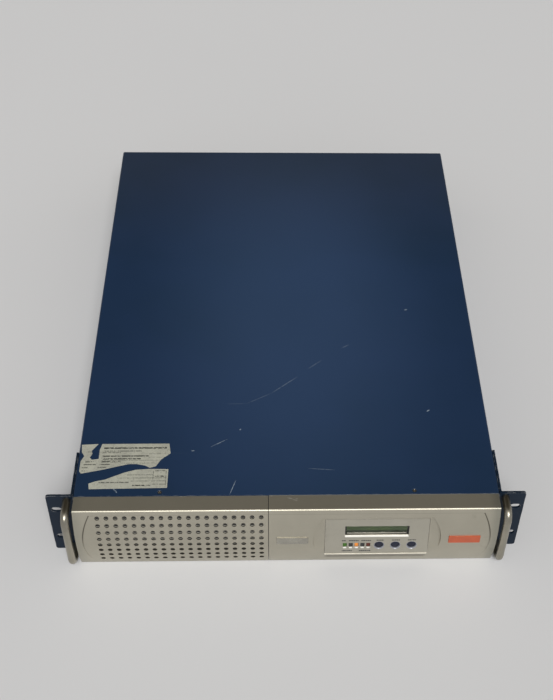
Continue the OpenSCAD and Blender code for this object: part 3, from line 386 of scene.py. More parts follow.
def front_paint():
    """Silver paint over moulded plastic: fine flakes, rubbed and chipped along its edges, with painted shade
    in the field's step and vent holes and a painted shadow under the display panel.
    """
    s = Shader("front_paint")
    x, _, z = s.millimetres()
    slow = s.noise(14, 4, 0.6, seed=1)
    sparkle = s.split(s.cells(5200, output="Color"))[0]
    colour = s.mix(s.fade(slow, 0.3, 0.7), SILVER, SILVER_DEEP)
    colour = s.layer(colour, SILVER_FLAKE, sparkle, 0.22)
    grime = s.patches(36, 0.56, 0.8, 5, warp=0.8, seed=5)
    colour = s.layer(colour, GRIME, grime, 0.2)
    chip = s.times(s.edges(0.0016, 0.03, 0.22), s.patches(120, 0.63, 0.68, seed=9))
    colour = s.mix(chip, colour, SILVER_CHIP)
    # duller at both ends, and more so on the right
    ends = s.times(s.fade(s.math("ABSOLUTE", x), 201, 212), s.fade(x, -100, 100, 0.22, 0.45))
    colour = s.mix(ends, colour, SILVER_DULL)
    # painted shade in the field's step, and a painted shadow under the display panel
    colour = s.layer(colour, CREASE_SHADE, field_shade(s, x, z), 0.8)
    # the vent holes: a dark rim of painted shade, then bare plastic below a depth that shrinks upwards
    deep, vents = vent_walls(s, x, z)
    past = s.math("SUBTRACT", deep, s.fade(z, 10, 62, 2.6, 1.05))
    bare = s.times(vents, s.fade(past, 0, 0.2))
    rim = s.times(vents, s.times(s.fade(deep, 0.03, 0.1), s.fade(past, 0, 0.2, 1, 0)))
    colour = s.layer(s.mix(bare, colour, BARE_PLASTIC), VENT_SHADE, rim, 0.95)
    for a, b, width in SCUFFS:
        rub = s.times(s.along_segment(a, b, width), 0.8)
        colour = s.mix(s.times(rub, s.patches(420, 0.38, 0.56, seed=11)), colour, SILVER_RUBBED)
    s.set(Base_Color=colour, Roughness=s.weighted(0.31, (sparkle, 0.1), (slow, 0.1), (grime, 0.12)),
          Metallic=s.weighted(0.78, (s.most([bare, rim]), -0.78)),
          Normal=s.bump(s.noise(2400, 2, 0.5, seed=2), 1.4e-5))
    return s


def satin_metal():
    """Satin nickel on the bent handle bars, brushed along the bar and finely pitted."""
    s = Shader("handle_satin")
    slow = s.noise(30, 4, 0.6, seed=1)
    brushed = s.noise(900, 3, 0.7, stretch=(1, 0.25, 0.25), seed=2)
    colour = s.mix(s.fade(slow, 0.35, 0.7), (0.4, 0.375, 0.31), (0.3, 0.28, 0.235))
    pits = s.times(s.dots(700, 0.12), s.patches(60, 0.55, 0.7, 2, 0.5, seed=4))
    colour = s.layer(colour, (0.12, 0.1, 0.08), pits, 0.6)
    return s.set(Base_Color=colour, Roughness=s.weighted(0.2, (brushed, 0.16), (slow, 0.1)), Metallic=1,
                 Normal=s.bump(brushed, 1e-5), Anisotropic=0.35)


def zinc_sheet():
    """Galvanised sheet with its spangle."""
    s = Shader("zinc")
    shade = s.split(s.cells(95, output="Color"))[0]
    fine = s.noise(900, 3, 0.6, stretch=(1, 0.12, 1), seed=2)
    colour = s.mix(shade, (0.46, 0.47, 0.48), (0.6, 0.61, 0.62))
    colour = s.layer(colour, (0.4, 0.38, 0.33), s.patches(18, 0.55, 0.8, rough=0.6, seed=4), 0.3)
    return s.set(Base_Color=colour, Roughness=s.weighted(0.26, (shade, 0.14), (fine, 0.12)), Metallic=1,
                 Normal=s.bump(fine, 1.2e-5))


def glass():
    """Thin glossy window with a few smudges."""
    s = Shader("window_glass")
    smudge = s.noise(160, 4, 0.6, seed=2)
    rim = s.node("ShaderNodeFresnel", {"IOR": 1.55})
    clear = s.node("ShaderNodeBsdfTransparent", {"Color": (0.9, 0.95, 0.88)})
    mirror = s.node("ShaderNodeBsdfAnisotropic", {"Color": (1, 1, 1),
                    "Roughness": s.weighted(0.03, (smudge, 0.1)), "Normal": s.bump(smudge, 1e-5, 0.3)})
    both = s.node("ShaderNodeMixShader", {0: rim.outputs[0], 1: clear.outputs[0], 2: mirror.outputs[0]})
    s.tree.nodes.remove(s.bsdf)
    s.put(s.out.inputs[0], both.outputs[0])
    return s


def display_face():
    """The reflective display: olive glass with rows of faint blank cells."""
    columns, rows = 18, 2.6
    low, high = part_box("lcd_lens")
    s = Shader("display_face")
    x, _, z = s.split(s.here)
    wide, up = s.share(x, low.x, high.x), s.share(z, low.z, high.z)
    cell = s.math("GREATER_THAN", s.math("FRACT", s.times(wide, columns)), 0.14)
    row = s.math("GREATER_THAN", s.math("FRACT", s.times(up, rows)), 0.16)
    cloud = s.noise(60, 3, 0.5, seed=1)
    colour = s.mix(s.fade(cloud, 0.3, 0.7), (0.17, 0.238, 0.086), (0.125, 0.18, 0.078))
    colour = s.layer(colour, (0.05, 0.075, 0.035), s.times(cell, row), 0.1)
    film = s.noise(1400, 2, 0.5, seed=2)
    return s.set(Base_Color=colour, Roughness=s.weighted(0.22, (film, 0.15)),
                 Normal=s.bump(film, 1e-5, 0.3))


def lamp(name, colour, glow):
    """A status lamp's moulded lens."""
    s = Shader(name)
    cloud = s.noise(500, 3, 0.5, seed=1)
    body = s.mix(s.fade(cloud, 0.3, 0.7), colour, tuple(c * 0.7 for c in colour))
    s.set(Base_Color=body, Roughness=s.weighted(0.22, (cloud, 0.15)), Normal=s.bump(cloud, 2e-5, 0.4))
    if glow:
        s.set(Emission_Color=body, Emission_Strength=glow)
    return s


def label_ink(s):
    """1 where the label's bars and rules are, with gaps in them and rubbed places."""
    x, y, _ = s.millimetres()
    bars = []
    for x0, x1, middle, height, strength in PRINT_BARS + PRINT_RULES:
        wide = s.math("LESS_THAN", s.far_from(x, (x0 + x1) / 2), (x1 - x0) / 2)
        tall = s.math("LESS_THAN", s.far_from(y, middle), height / 2)
        bars.append(s.times(s.times(wide, tall), strength))
    spot = s.joined(s.math("FLOOR", s.math("DIVIDE", x, 0.8)), s.math("FLOOR", y))
    dice = s.node("ShaderNodeTexWhiteNoise", {0: spot}, noise_dimensions="2D")
    whole = s.math("GREATER_THAN", dice.outputs[0], 0.16)
    return s.times(s.times(s.most(bars), whole), s.patches(260, 0.34, 0.46, seed=4))


def label_paper():
    """Metallised label with plain bars and ruled lines where print would be, scuffed and stained."""
    s = Shader("label_print")
    stain = s.noise(60, 4, 0.6, seed=2)
    colour = s.mix(s.fade(stain, 0.3, 0.75), PAPER, PAPER_DEEP)
    colour = s.layer(colour, PAPER_FOLD, s.patches(520, 0.5, 0.66, 3, seed=8), 0.35)
    colour = s.mix(label_ink(s), colour, (0.05, 0.055, 0.05))
    colour = s.layer(colour, (0.64, 0.64, 0.6), s.patches(90, 0.6, 0.72, seed=6), 0.5)
    return s.set(Base_Color=colour, Roughness=s.weighted(0.36, (stain, 0.2)), Metallic=0.25,
                 Normal=s.bump(s.noise(300, 4, 0.6, seed=7), 6e-5))


def circuit_board():
    """Green solder mask over copper tracks."""
    s = Shader("circuit_board")
    lanes = s.cells(130, feature="DISTANCE_TO_EDGE", scatter=0.75)
    track = s.fade(lanes, 0.03, 0.06, 1, 0)
    pads = s.dots(190, 0.13, 0.1)
    weave = s.noise(1500, 2, 0.5, seed=2)
    colour = s.mix(weave, (0.012, 0.07, 0.026), (0.018, 0.092, 0.036))
    colour = s.layer(colour, (0.035, 0.15, 0.05), track, 0.6)
    colour = s.mix(pads, colour, (0.55, 0.54, 0.5))
    return s.set(Base_Color=colour, Roughness=s.weighted(0.25, (weave, 0.2)), Metallic=s.times(pads, 0.9),
                 Normal=s.bump(s.math("ADD", track, pads), 4e-5, 0.6))


def foam():
    """Open-cell foam of the dust filter."""
    s = Shader("foam_open")
    pores = s.cells(900, feature="SMOOTH_F1")
    colour = s.mix(s.fade(pores, 0.1, 0.6), (0.012, 0.012, 0.012), (0.06, 0.058, 0.055))
    colour = s.layer(colour, (0.16, 0.15, 0.13), s.patches(90, 0.5, 0.8, seed=3), 0.35)
    return s.set(Base_Color=colour, Roughness=s.weighted(0.78, (pores, 0.2)),
                 Normal=s.bump(pores, 0.0006, 1))


def laminated():
    """Stacked steel laminations seen on edge."""
    sheet = 0.0008
    s = Shader("laminations")
    share = s.math("FRACT", s.math("DIVIDE", s.split(s.here)[1], sheet))
    gap = s.fade(s.far_from(share, 0.5), 0.3, 0.5)
    rust = s.patches(120, 0.55, 0.75, seed=3)
    colour = s.mix(gap, (0.16, 0.165, 0.175), (0.04, 0.04, 0.042))
    colour = s.layer(colour, (0.13, 0.06, 0.03), rust, 0.4)
    return s.set(Base_Color=colour, Roughness=s.weighted(0.42, (rust, 0.3)), Metallic=0.7,
                 Normal=s.bump(gap, 0.0001, 0.6))


def sleeve():
    """Printed sleeve of a capacitor, with its pale stripe and bare metal top."""
    first, pitch = EAR_Y + 232 * MM, 36 * MM
    low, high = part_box("bus_capacitors")
    s = Shader("capacitor_sleeve")
    x, y, z = s.split(s.here)
    share = s.math("FRACT", s.math("DIVIDE", s.math("SUBTRACT", y, first), pitch))
    stripe = s.times(s.between(share, 0.42, 0.58), s.math("LESS_THAN", x, (low.x + high.x) / 2))
    top = s.math("GREATER_THAN", z, high.z - 0.3 * MM)
    fine = s.noise(700, 3, 0.5, seed=2)
    colour = s.mix(fine, (0.01, 0.014, 0.024), (0.02, 0.026, 0.04))
    colour = s.mix(stripe, colour, (0.42, 0.44, 0.46))
    colour = s.mix(top, colour, (0.52, 0.53, 0.54))
    return s.set(Base_Color=colour, Roughness=s.weighted(0.28, (fine, 0.15)), Metallic=top,
                 Normal=s.bump(fine, 2e-5))


def floor_paper():
    """The pale studio floor."""
    s = Shader("floor_paper")
    slow = s.noise(1.3, 3, 0.5, seed=1)
    tooth = s.noise(420, 3, 0.6, seed=2)
    return s.set(Base_Color=s.mix(s.fade(slow, 0.3, 0.7), (0.707, 0.713, 0.736), (0.719, 0.725, 0.748)),
                 Roughness=s.weighted(0.85, (tooth, 0.1)), Normal=s.bump(tooth, 4e-5, 0.3))


PALETTE = {
    "cover": cover_paint(),
    "blue": painted("blue_enamel", BLUE, BLUE_DEEP, 0.36, wear=(0.2, 0.22, 0.25), specks=0.3,
        grain=1500, dirt=(0.1, 0.1, 0.1, 0.25)),
    "ear": painted("ear_enamel", (0.007, 0.016, 0.032), (0.005, 0.012, 0.025), 0.42, gleam=0.17,
        wear=(0.3, 0.31, 0.32), wear_radius=0.0014, specks=0.3, grain=1500),
    "front": front_paint(),
    "panel": painted("panel_paint", (0.44, 0.418, 0.355), (0.4, 0.38, 0.322), 0.36, metallic=0.7,
        grain=3000, mottle=20, dirt=(0.22, 0.2, 0.17, 0.25), wear=(0.7, 0.68, 0.6),
        wear_radius=0.0008),
    "handle": satin_metal(),
    "zinc": zinc_sheet(),
    "screw": steel("screw_steel", (0.58, 0.57, 0.54), 0.26),
    "dark_screw": steel("screw_black", (0.05, 0.052, 0.058), 0.34),
    "black_steel": painted("black_lacquer", (0.018, 0.018, 0.02), (0.012, 0.012, 0.013), 0.35,
        wear=(0.3, 0.3, 0.3), wear_radius=0.0008),
    "black": moulded("black_plastic", (0.018, 0.018, 0.019), dirt=(0.12, 0.115, 0.1, 0.25)),
    "grey": moulded("grey_plastic", (0.1, 0.105, 0.11)),
    "impeller": moulded("impeller_plastic", (0.06, 0.061, 0.064), 0.34, dirt=(0.14, 0.13, 0.11, 0.35)),
    "white": moulded("white_plastic", (0.62, 0.61, 0.57), 0.35),
    "button": moulded("button_rubber", (0.01, 0.013, 0.03), 0.36, gleam=0.4),
    "badge": painted("badge_foil", (0.52, 0.092, 0.027), (0.45, 0.078, 0.026), 0.34, metallic=0.25,
        mottle=120, wear=(0.75, 0.35, 0.2), wear_radius=0.0007, coat=0.3),
    "tag": painted("tag_foil", (0.4, 0.385, 0.335), (0.315, 0.3, 0.265), 0.28, metallic=0.85,
        mottle=70, grain=900, brushed=(0.05, 1, 1)),
    "label": label_paper(),
    "glass": glass(),
    "display": display_face(),
    "board": circuit_board(),
    "foam": foam(),
    "brass": steel("brass", (0.62, 0.46, 0.2)),
    "copper": steel("enamelled_copper", (0.5, 0.19, 0.07), 0.24, coat=0.5),
    "ferrite": moulded("ferrite_green", (0.05, 0.16, 0.08), 0.5),
    "alloy": steel("extruded_alloy", (0.6, 0.61, 0.62), 0.36, brushed=(1, 0.04, 1)),
    "core": laminated(),
    "coil": moulded("coil_tape", (0.55, 0.34, 0.05), 0.3, coat=0.4),
    "capacitor": sleeve(),
    "red_lead": moulded("lead_red", (0.28, 0.018, 0.014), 0.42),
    "battery": moulded("battery_case", (0.03, 0.032, 0.035), 0.5, specks=0.4),
    "battery_lid": moulded("battery_lid", (0.045, 0.048, 0.052), 0.46),
    "battery_label": painted("battery_label", (0.5, 0.5, 0.47), (0.45, 0.45, 0.42), 0.35, mottle=40),
    "band": painted("battery_band", (0.3, 0.025, 0.02), (0.26, 0.022, 0.018), 0.35, mottle=40),
    "ink": moulded("panel_ink", (0.035, 0.037, 0.042), 0.5),
    "ring": painted("ring_lacquer", (0.4, 0.41, 0.45), (0.35, 0.36, 0.4), 0.3, metallic=0.45),
    # painted highlight: the pale plates on the openings' lips
    "bare": moulded("lip_highlight_plastic", (0.66, 0.65, 0.6), 0.3),
    # painted highlight: a bright strip low in the display window
    "window_highlight": painted("display_highlight_strip", (0.52, 0.5, 0.44), (0.42, 0.4, 0.35), 0.26, metallic=0.8,
        mottle=60, grain=900),
    "green_lamp": lamp("lamp_green", (0.05, 0.15, 0.012), 0.2),
    "amber_lamp": lamp("lamp_amber", (0.6, 0.21, 0.035), 0.5),
    "red_lamp": lamp("lamp_red", (0.14, 0.03, 0.018), 0),
    "dark_lamp": lamp("lamp_dark", (0.04, 0.042, 0.044), 0),
    "chip": moulded("chip_resin", (0.02, 0.02, 0.022), 0.4),
    "ceramic": moulded("ceramic", (0.42, 0.3, 0.16), 0.35),
    "tin": steel("tinned", (0.62, 0.62, 0.6), 0.28),
    "floor": floor_paper(),
}

# Material and edge rounding, in millimetres, of each CAD node that stays in view
FINISH = {
    "cover": {"top_cover": 0.22},
    "blue": {"chassis_base": 0.2, "rear_panel": 0.2, "slot_cover": 0.25},
    "ear": {"left_ear": 0.4, "right_ear": 0.4},
    "front": {"front_cover": 0.22, "front_bezel": 0.22},
    "panel": {"display_panel": 0.3},
    "handle": {"left_handle": 0.2, "right_handle": 0.2},
    "zinc": {"drawer_rails": 0.2, "bay_divider": 0.2, "battery_tray": 0.2, "drawer_plate": 0.2},
    "screw": {"cover_screws": 0.12, "handle_screws": 0.2, "drawer_screws": 0.15, "rear_screws": 0.15,
              "fan_guards": 0},
    "dark_screw": {"ear_screws": 0.2},
    "black_steel": {"drawer_pull": 0},
    "black": {"fan_frames": 0.5, "power_inlet": 0.4, "output_sockets": 0.3, "circuit_breaker": 0.4,
              "relays": 0.6, "power_transistors": 0.15},
    "grey": {"battery_plug": 0.5, "battery_socket": 0.4},
    "white": {"breaker_button": 0.6},
    "button": {f"button_{i}": 0.3 for i in range(1, 4)},
    "badge": {"badge": 0.25},
    "tag": {"model_tag": 0.2},
    "label": {"rating_label": 0},
    "glass": {"lcd_lens": 0},
    "display": {"lcd_module": 0.2},
    "board": {"main_board": 0.1, "control_board": 0.1, "display_board": 0.1},
    "foam": {"cover_filter": 0.6},
    "brass": {"battery_terminals": 0.1, "board_standoffs": 0.15},
    "ferrite": {"choke_cores": 1.2},
    "alloy": {"heatsinks": 0.25, "serial_port": 0.2},
    "core": {"transformer_core": 0.2},
    "coil": {"transformer_coil": 2},
    "capacitor": {"bus_capacitors": 0.6},
    "red_lead": {"battery_leads": 0},
    "battery": {f"battery_{i}": 0.6 for i in range(1, 5)},
}


# ---- CAD nodes

CORNER = math.radians(38)  # edges that turn by more than this are true corners


def shading_group():
    """Geometry nodes that shade a mesh smooth and keep its true corners sharp."""
    tree = bpy.data.node_groups.new("smooth_by_angle", "GeometryNodeTree")
    for side in ("INPUT", "OUTPUT"):
        tree.interface.new_socket("Geometry", in_out=side, socket_type="NodeSocketGeometry")
    made = Nodes(tree)
    mesh = made.node("NodeGroupInput").outputs[0]
    plain = made.node("GeometryNodeSetMeshNormal", {0: mesh, "Remove Custom": True}).outputs[0]
    faces = made.node("GeometryNodeSetShadeSmooth", {0: plain}, domain="FACE").outputs[0]
    angle = made.node("GeometryNodeInputMeshEdgeAngle").outputs["Unsigned Angle"]
    gentle = made.node("FunctionNodeCompare", {0: angle, 1: CORNER}, operation="LESS_THAN").outputs[0]
    edges = made.node("GeometryNodeSetShadeSmooth", {0: faces, "Shade Smooth": gentle}, domain="EDGE")
    made.node("NodeGroupOutput", {0: edges.outputs[0]})
    return tree


def soften(obj, width, shading):
    """Small rounded edges and smooth shading on a CAD node, as modifiers."""
    weld = obj.modifiers.new("weld", "WELD")
    weld.merge_threshold = 2e-6
    if width:
        flat = obj.modifiers.new("flat", "DECIMATE")
        flat.decimate_type = "DISSOLVE"
        flat.angle_limit = math.radians(0.4)
        edge = obj.modifiers.new("edge", "BEVEL")
        edge.width = width * MM
        edge.segments = 2
        edge.limit_method = "ANGLE"
        edge.angle_limit = CORNER
        edge.use_clamp_overlap = True
    shade = obj.modifiers.new("shade", "NODES")
    shade.node_group = shading
    if width:
        even = obj.modifiers.new("even", "WEIGHTED_NORMAL")
        even.keep_sharp = True
        even.weight = 50


def paint(obj, shader):
    """Gives an object one material, in slots of its own."""
    if not obj.material_slots:
        obj.data.materials.append(shader.mat)
    for slot in obj.material_slots:
        slot.link = "OBJECT"
        slot.material = shader.mat


def finish_nodes():
    """Materials and rounded edges of the CAD nodes."""
    shading = shading_group()
    for finish, members in FINISH.items():
        for node, width in members.items():
            paint(NODES[node], PALETTE[finish])
            soften(NODES[node], width, shading)


# ---- mesh helpers

def circle(count):
    """Angles of a full turn in equal steps."""
    return [2 * math.pi * i / count for i in range(count)]


class Solid:
    """Collects shapes into one mesh, which becomes one piece. Points and radii are in metres."""

    def __init__(self):
        self.bm = bmesh.new()

    def box(self, low, high, bevel=0, turn=None):
        """A box between two corners, with bevelled edges, placed by turn."""
        low, high = Vector(low), Vector(high)
        made = bmesh.ops.create_cube(self.bm, size=1)["verts"]
        place = Matrix.Translation((low + high) / 2) @ Matrix.Diagonal((*(high - low), 1))
        bmesh.ops.transform(self.bm, matrix=(turn @ place) if turn else place, verts=made)
        if bevel:
            edges = list({e for v in made for e in v.link_edges})
            bmesh.ops.bevel(self.bm, geom=edges, offset=bevel, segments=2, affect="EDGES", profile=0.6)

    def rings(self, rows, closed=False):
        """Skins a list of equal rings of points; closed joins the last ring to the first."""
        verts = [[self.bm.verts.new(p) for p in row] for row in rows]
        n = len(verts[0])
        for a, b in zip(verts, verts[1:] + verts[:1] if closed else verts[1:]):
            for i in range(n):
                self.bm.faces.new((a[i], a[(i + 1) % n], b[(i + 1) % n], b[i]))
        if not closed:
            self.bm.faces.new(list(reversed(verts[0])))
            self.bm.faces.new(verts[-1])

    def lathe(self, centre, axis, profile, segments=32):
        """A turned shape: profile is (distance along the axis, radius)."""
        axis = Vector(axis).normalized()
        side = axis.orthogonal().normalized()
        other = axis.cross(side)
        self.rings([[centre + axis * along + (side * math.cos(a) + other * math.sin(a)) * radius
                     for a in circle(segments)] for along, radius in profile])

    def tube(self, points, radius, segments=8):
        """A round wire along a list of points."""
        rows, side = [], None
        for i, p in enumerate(points):
            ahead, behind = points[min(i + 1, len(points) - 1)], points[max(i - 1, 0)]
            run = (ahead - behind).normalized()
            side = (run.orthogonal() if side is None else side - run * side.dot(run)).normalized()
            other = run.cross(side)
            rows.append([p + (side * math.cos(a) + other * math.sin(a)) * radius
                         for a in circle(segments)])
        self.rings(rows)

    def object(self, name, shader, smooth=40):
        """The mesh as an object, smooth where faces meet at less than the angle in degrees."""
        bmesh.ops.recalc_face_normals(self.bm, faces=self.bm.faces)
        mesh = bpy.data.meshes.new(name)
        self.bm.to_mesh(mesh)
        self.bm.free()
        for polygon in mesh.polygons:
            polygon.use_smooth = True
        mesh.set_sharp_from_angle(angle=math.radians(smooth))
        mesh.materials.append(shader.mat)
        obj = bpy.data.objects.new(name, mesh)
        bpy.context.scene.collection.objects.link(obj)
        return obj

    def piece(self, name, shader, body, smooth=40):
        """The mesh as a piece that rides on a body."""
        obj = self.object(name, shader, smooth)
        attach(obj, body)
        return obj


# ---- display: lamps, rings, legends

# The display panel leans back from the front's surface: its tilt, and its foot's height and place
PANEL_TILT = math.radians(9.7)
PANEL_Z0 = 21.3
PANEL_Y0 = BOW_Y - math.sqrt(BOW_R ** 2 - (PANEL_Z0 - BOW_Z) ** 2) - 3
SLOPE = (Matrix.Translation(at(PANEL_X, PANEL_Y0, PANEL_Z0))
         @ Matrix.Rotation(-PANEL_TILT, 4, "X") @ Matrix.Diagonal((MM, MM, MM, 1)))

# Places on the panel: across, and up along its slope
CONTROL_Z = 13.6
BUTTON_X = (93.4, 110.1, 126.8)
LAMP_X = [58.4 + 6 * i for i in range(5)]
LAMP_KINDS = ("green_lamp", "dark_lamp", "amber_lamp", "dark_lamp", "red_lamp")
WINDOW_Z = 33.6

# The boxes of a lamp, from its middle: across, behind the panel's face, up, and edge rounding
LAMP_BOXES = (
    ((-1.95, 1.95), (2.7, 5.8), (-2.25, 3.65), 0.35),  # lens
    ((-1.8, 1.8), (1.5, 3), (-2.2, 3.3), 0.3),  # raised face
    ((-1.03, -0.47), (1.3, 1.7), (-1.3, 1.2), 0.1),  # two bars on the face
    ((0.47, 1.03), (1.3, 1.7), (-1.3, 1.2), 0.1),
    ((-1.4, 1.4), (5.6, 9.3), (-1.4, 1.4), 0.2),  # light pipe
)

# A button's ring: height over the panel's face, and radius
RING_PROFILE = ((-1.6, 4.53), (-1.6, 4.43), (-0.82, 4.45), (-0.05, 5.03), (0.06, 5.16), (0.05, 5.36),
                (-0.04, 5.44))

# Bars where the panel's print would be: left and right end, height
LEGENDS = ((55.3, 59.6, 20.4), (62.4, 73.2, 20.4), (75.1, 85.9, 20.4), (90.7, 98.6, 20.8),
           (106.4, 114.6, 20.8), (122.6, 130.9, 20.8), (55.5, 65.9, 6.2), (73.1, 84.9, 6.2))


def slope(x, y, z):
    """A point on the display panel: millimetres across, behind its face, up along it."""
    return SLOPE @ Vector((x - PANEL_X, y, z))


def sloped_box(solid, xs, ys, zs, bevel=0):
    """A box on the tilted panel, from pairs of its own millimetres."""
    centre = slope(*(sum(pair) / 2 for pair in (xs, ys, zs)))
    turn = Matrix.Translation(centre) @ Matrix.Rotation(-PANEL_TILT, 4, "X")
    half = Vector([(high - low) * MM / 2 for low, high in (xs, ys, zs)])
    solid.box(-half, half, bevel * MM, turn)


def status_lamps():
    """Five moulded lamps, each a light pipe with a stepped face."""
    middle = CONTROL_Z - 0.4
    for i, (x, kind) in enumerate(zip(LAMP_X, LAMP_KINDS), 1):
        lens = Solid()
        for (x0, x1), ys, (z0, z1), bevel in LAMP_BOXES:
            sloped_box(lens, (x + x0, x + x1), ys, (middle + z0, middle + z1), bevel)
        piece = lens.piece(f"status_lamp_{i}", PALETTE[kind], "chassis")
        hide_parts("status_leds")


def lip(solid, x, half, z, depth, rise, skip, length):
    """A thin plate on an opening's sill, which leaves the face at height z and slopes inwards.

    It starts skip along the sill and is length long, all in millimetres.
    """
    run = math.hypot(depth, rise)
    out, along = Vector((0, -rise, depth)) / run, Vector((0, depth, rise)) / run
    under, over = out * -0.05, out * 0.06
    rows = []
    for side in (-half, half):
        foot = Vector((x + side, 0, z)) + along * skip
        head = foot + along * length
        rows.append([slope(*p) for p in (foot + under, foot + over, head + over, head + under)])
    solid.rings(rows)


def opening_lips():
    """Pale plates on the lips under the window and under each lamp: a painted highlight where the lips catch
    the light.
    """
    lips = Solid()
    lip(lips, PANEL_X, half=32.4, z=24.8, depth=1.5, rise=2, skip=0.45, length=1.65)
    for x in LAMP_X:
        lip(lips, x, half=1.55, z=CONTROL_Z - 4.2, depth=1, rise=1.4, skip=0.2, length=1.5)
    # the pale plates paint the lips' highlight
    lips.piece("opening_lips", PALETTE["bare"], "chassis")


def button_rings():
    """A lacquered liner in each push button's hole, with a flat rim on the panel."""
    rings = Solid()
    side = Vector((1, 0, 0))
    normal = (SLOPE.to_3x3() @ Vector((0, -1, 0))).normalized()
    up = side.cross(normal)
    for x in BUTTON_X:
        centre = slope(x, 0, CONTROL_Z)
        rows = []
        for a in circle(64):
            out = side * math.cos(a) + up * math.sin(a)
            rows.append([centre + out * (r * MM) + normal * (h * MM) for h, r in RING_PROFILE])
        rings.rings(rows, closed=True)
    rings.piece("button_rings", PALETTE["ring"], "chassis")


def panel_legends():
    """Small plain bars where the panel's print would be."""
    half, gap, shortest = 0.65, 0.35, 0.9
    marks = Solid()
    dice = random.Random(5)
    for x, end, z in LEGENDS:
        while x < end - shortest:
            wide = min(dice.uniform(shortest, 2.2), end - x)
            sloped_box(marks, (x, x + wide), (-0.03, 0.05), (z - half, z + half))
            x += wide + gap
    marks.piece("panel_legends", PALETTE["ink"], "chassis")


def display_frame():
    """Black gasket between the panel and the window, and a bright strip low behind the window as a painted
    highlight on its lower edge.
    """
    wide, tall, inner_wide, inner_tall = 32.35, 6.65, 31, 6.05
    gasket, trim = Solid(), Solid()
    for xs, zs in (((-wide, -inner_wide), (-tall, tall)), ((inner_wide, wide), (-tall, tall)),
                   ((-inner_wide, inner_wide), (inner_tall, tall)),
                   ((-inner_wide, inner_wide), (-tall, -inner_tall))):
        sloped_box(gasket, [PANEL_X + x for x in xs], (2.45, 2.98), [WINDOW_Z + z for z in zs], 0.08)
    gasket.piece("display_gasket", PALETTE["black"], "chassis")
    # a bright strip painted as the highlight low in the window
    sloped_box(trim, (PANEL_X - 30.2, PANEL_X + 30.2), (2.62, 2.97), (WINDOW_Z - 5.9, WINDOW_Z - 4.5), 0.1)
    trim.piece("display_highlight_strip", PALETTE["window_highlight"], "chassis")


# ---- batteries

def battery_trim():
    """Ribs and a raised rim on each battery's lid, a blank label and its band. Sizes are in metres."""
    ribs, rib_half, rim_half, rim_in, margin = 7, 0.0085, 0.0012, 0.004, 0.018
    for i in range(1, 5):
        low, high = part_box(f"battery_{i}")
        front, back, top = low.y, high.y, high.z
        sides, ends = (low.x + rim_in, high.x - rim_in), (front + rim_in, back - 0.015)
        middles = [low.x + (high.x - low.x) * (k + 0.5) / ribs for k in range(ribs)]
        boxes = [((x - rib_half, x + rib_half), (back - 0.0108, back - 0.0022)) for x in middles]
        boxes += [((x - rim_half, x + rim_half), ends) for x in sides]
        boxes += [(sides, (y - rim_half, y + rim_half)) for y in ends]
        trim, label, band = Solid(), Solid(), Solid()
        for xs, ys in boxes:
            trim.box(*zip(xs, ys, (top - 0.0004, top + 0.0006)), 0.0003)
        wide = (low.x + margin, high.x - margin)
        label.box(*zip(wide, (front + 0.014, back - 0.024), (top - 0.0001, top + 0.00018)), 0.00008)
        band.box(*zip(wide, (front + 0.06, front + 0.0665), (top + 0.00012, top + 0.00026)), 4e-5)
        trim.piece(f"battery_ribs_{i}", PALETTE["battery_lid"], "battery_drawer")
        label.piece(f"battery_label_{i}", PALETTE["battery_label"], "battery_drawer")
        band.piece(f"battery_band_{i}", PALETTE["band"], "battery_drawer")


# ---- electronics

CHOKE_X = (40, 104, 168)


def choke_turns(x, y, z):
    """The wire's path round one core whose middle is at (x, y, z) metres."""
    turns, steps = 26, 20
    start, sweep = math.radians(-65), math.radians(310)
    core_r, half_r, half_y = 18, 5.9, 9
    points = []
    for k in range(turns * steps + 1):
        a = start + sweep * k / (turns * steps)
        b = 2 * math.pi * k / steps
        c, d = math.cos(b), math.sin(b)
        grow = 1 / max(abs(c), abs(d)) ** 0.75  # squares the path round the core's cross-section
        r = core_r + half_r * c * grow
        points.append(Vector((x, y, z)) + Vector((r * math.cos(a), half_y * d * grow, r * math.sin(a))) * MM)
    return points


def wound_chokes():
    """Enamelled wire wound round each toroid core."""
    low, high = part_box("choke_cores")
    wire = Solid()
    for x in CHOKE_X:
        wire.tube(choke_turns(x * MM, (low.y + high.y) / 2, (low.z + high.z) / 2), 0.62 * MM, 6)
    piece = wire.piece("choke_wire", PALETTE["copper"], "chassis", smooth=60)
    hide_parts("choke_windings")


def board_parts():
    """Small parts on the main board, clear of the large ones."""
    top = Vector((0, 0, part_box("main_board")[1].z))
    chips, ceramics, tinned = Solid(), Solid(), Solid()

    def block(solid, x, y, half, deep, tall, bevel):
        """A box on the board, from its middle, half width, half depth and height."""
        solid.box(at(x - half, y - deep) + top, at(x + half, y + deep, tall) + top, bevel * MM)

    dice = random.Random(11)
    spots = [(x, y) for y in (84, 98, 112, 126, 440, 452) for x in range(6, 200, 16)
             if y < 430 or not 60 < x < 150]
    for x, y in spots:
        kind = dice.random()
        if kind < 0.35:
            w, d = dice.choice(((5, 4), (7.5, 4), (9, 6.5)))
            block(chips, x, y, w / 2, d / 2, 1.8, 0.2)
            for k in range(4):
                for side in (-1, 1):
                    block(tinned, x + (k - 1.5) * w / 4.5, y + side * d / 2, 0.2, 0.7, 0.6, 0.08)
        elif kind < 0.8:
            for k in range(3):
                block(ceramics, x - 3.2 + 3 * k, y, 0.8, 0.8, 1, 0.1)
        else:
            can = ((0, 3), (0.6, 3.2), (9, 3.2), (9.6, 2.8))
            tinned.lathe(at(x, y) + top, (0, 0, 1), [(up * MM, r * MM) for up, r in can], 20)
    chips.piece("board_chips", PALETTE["chip"], "chassis")
    ceramics.piece("board_ceramics", PALETTE["ceramic"], "chassis")
    tinned.piece("board_tinned_parts", PALETTE["tin"], "chassis")


# ---- fans

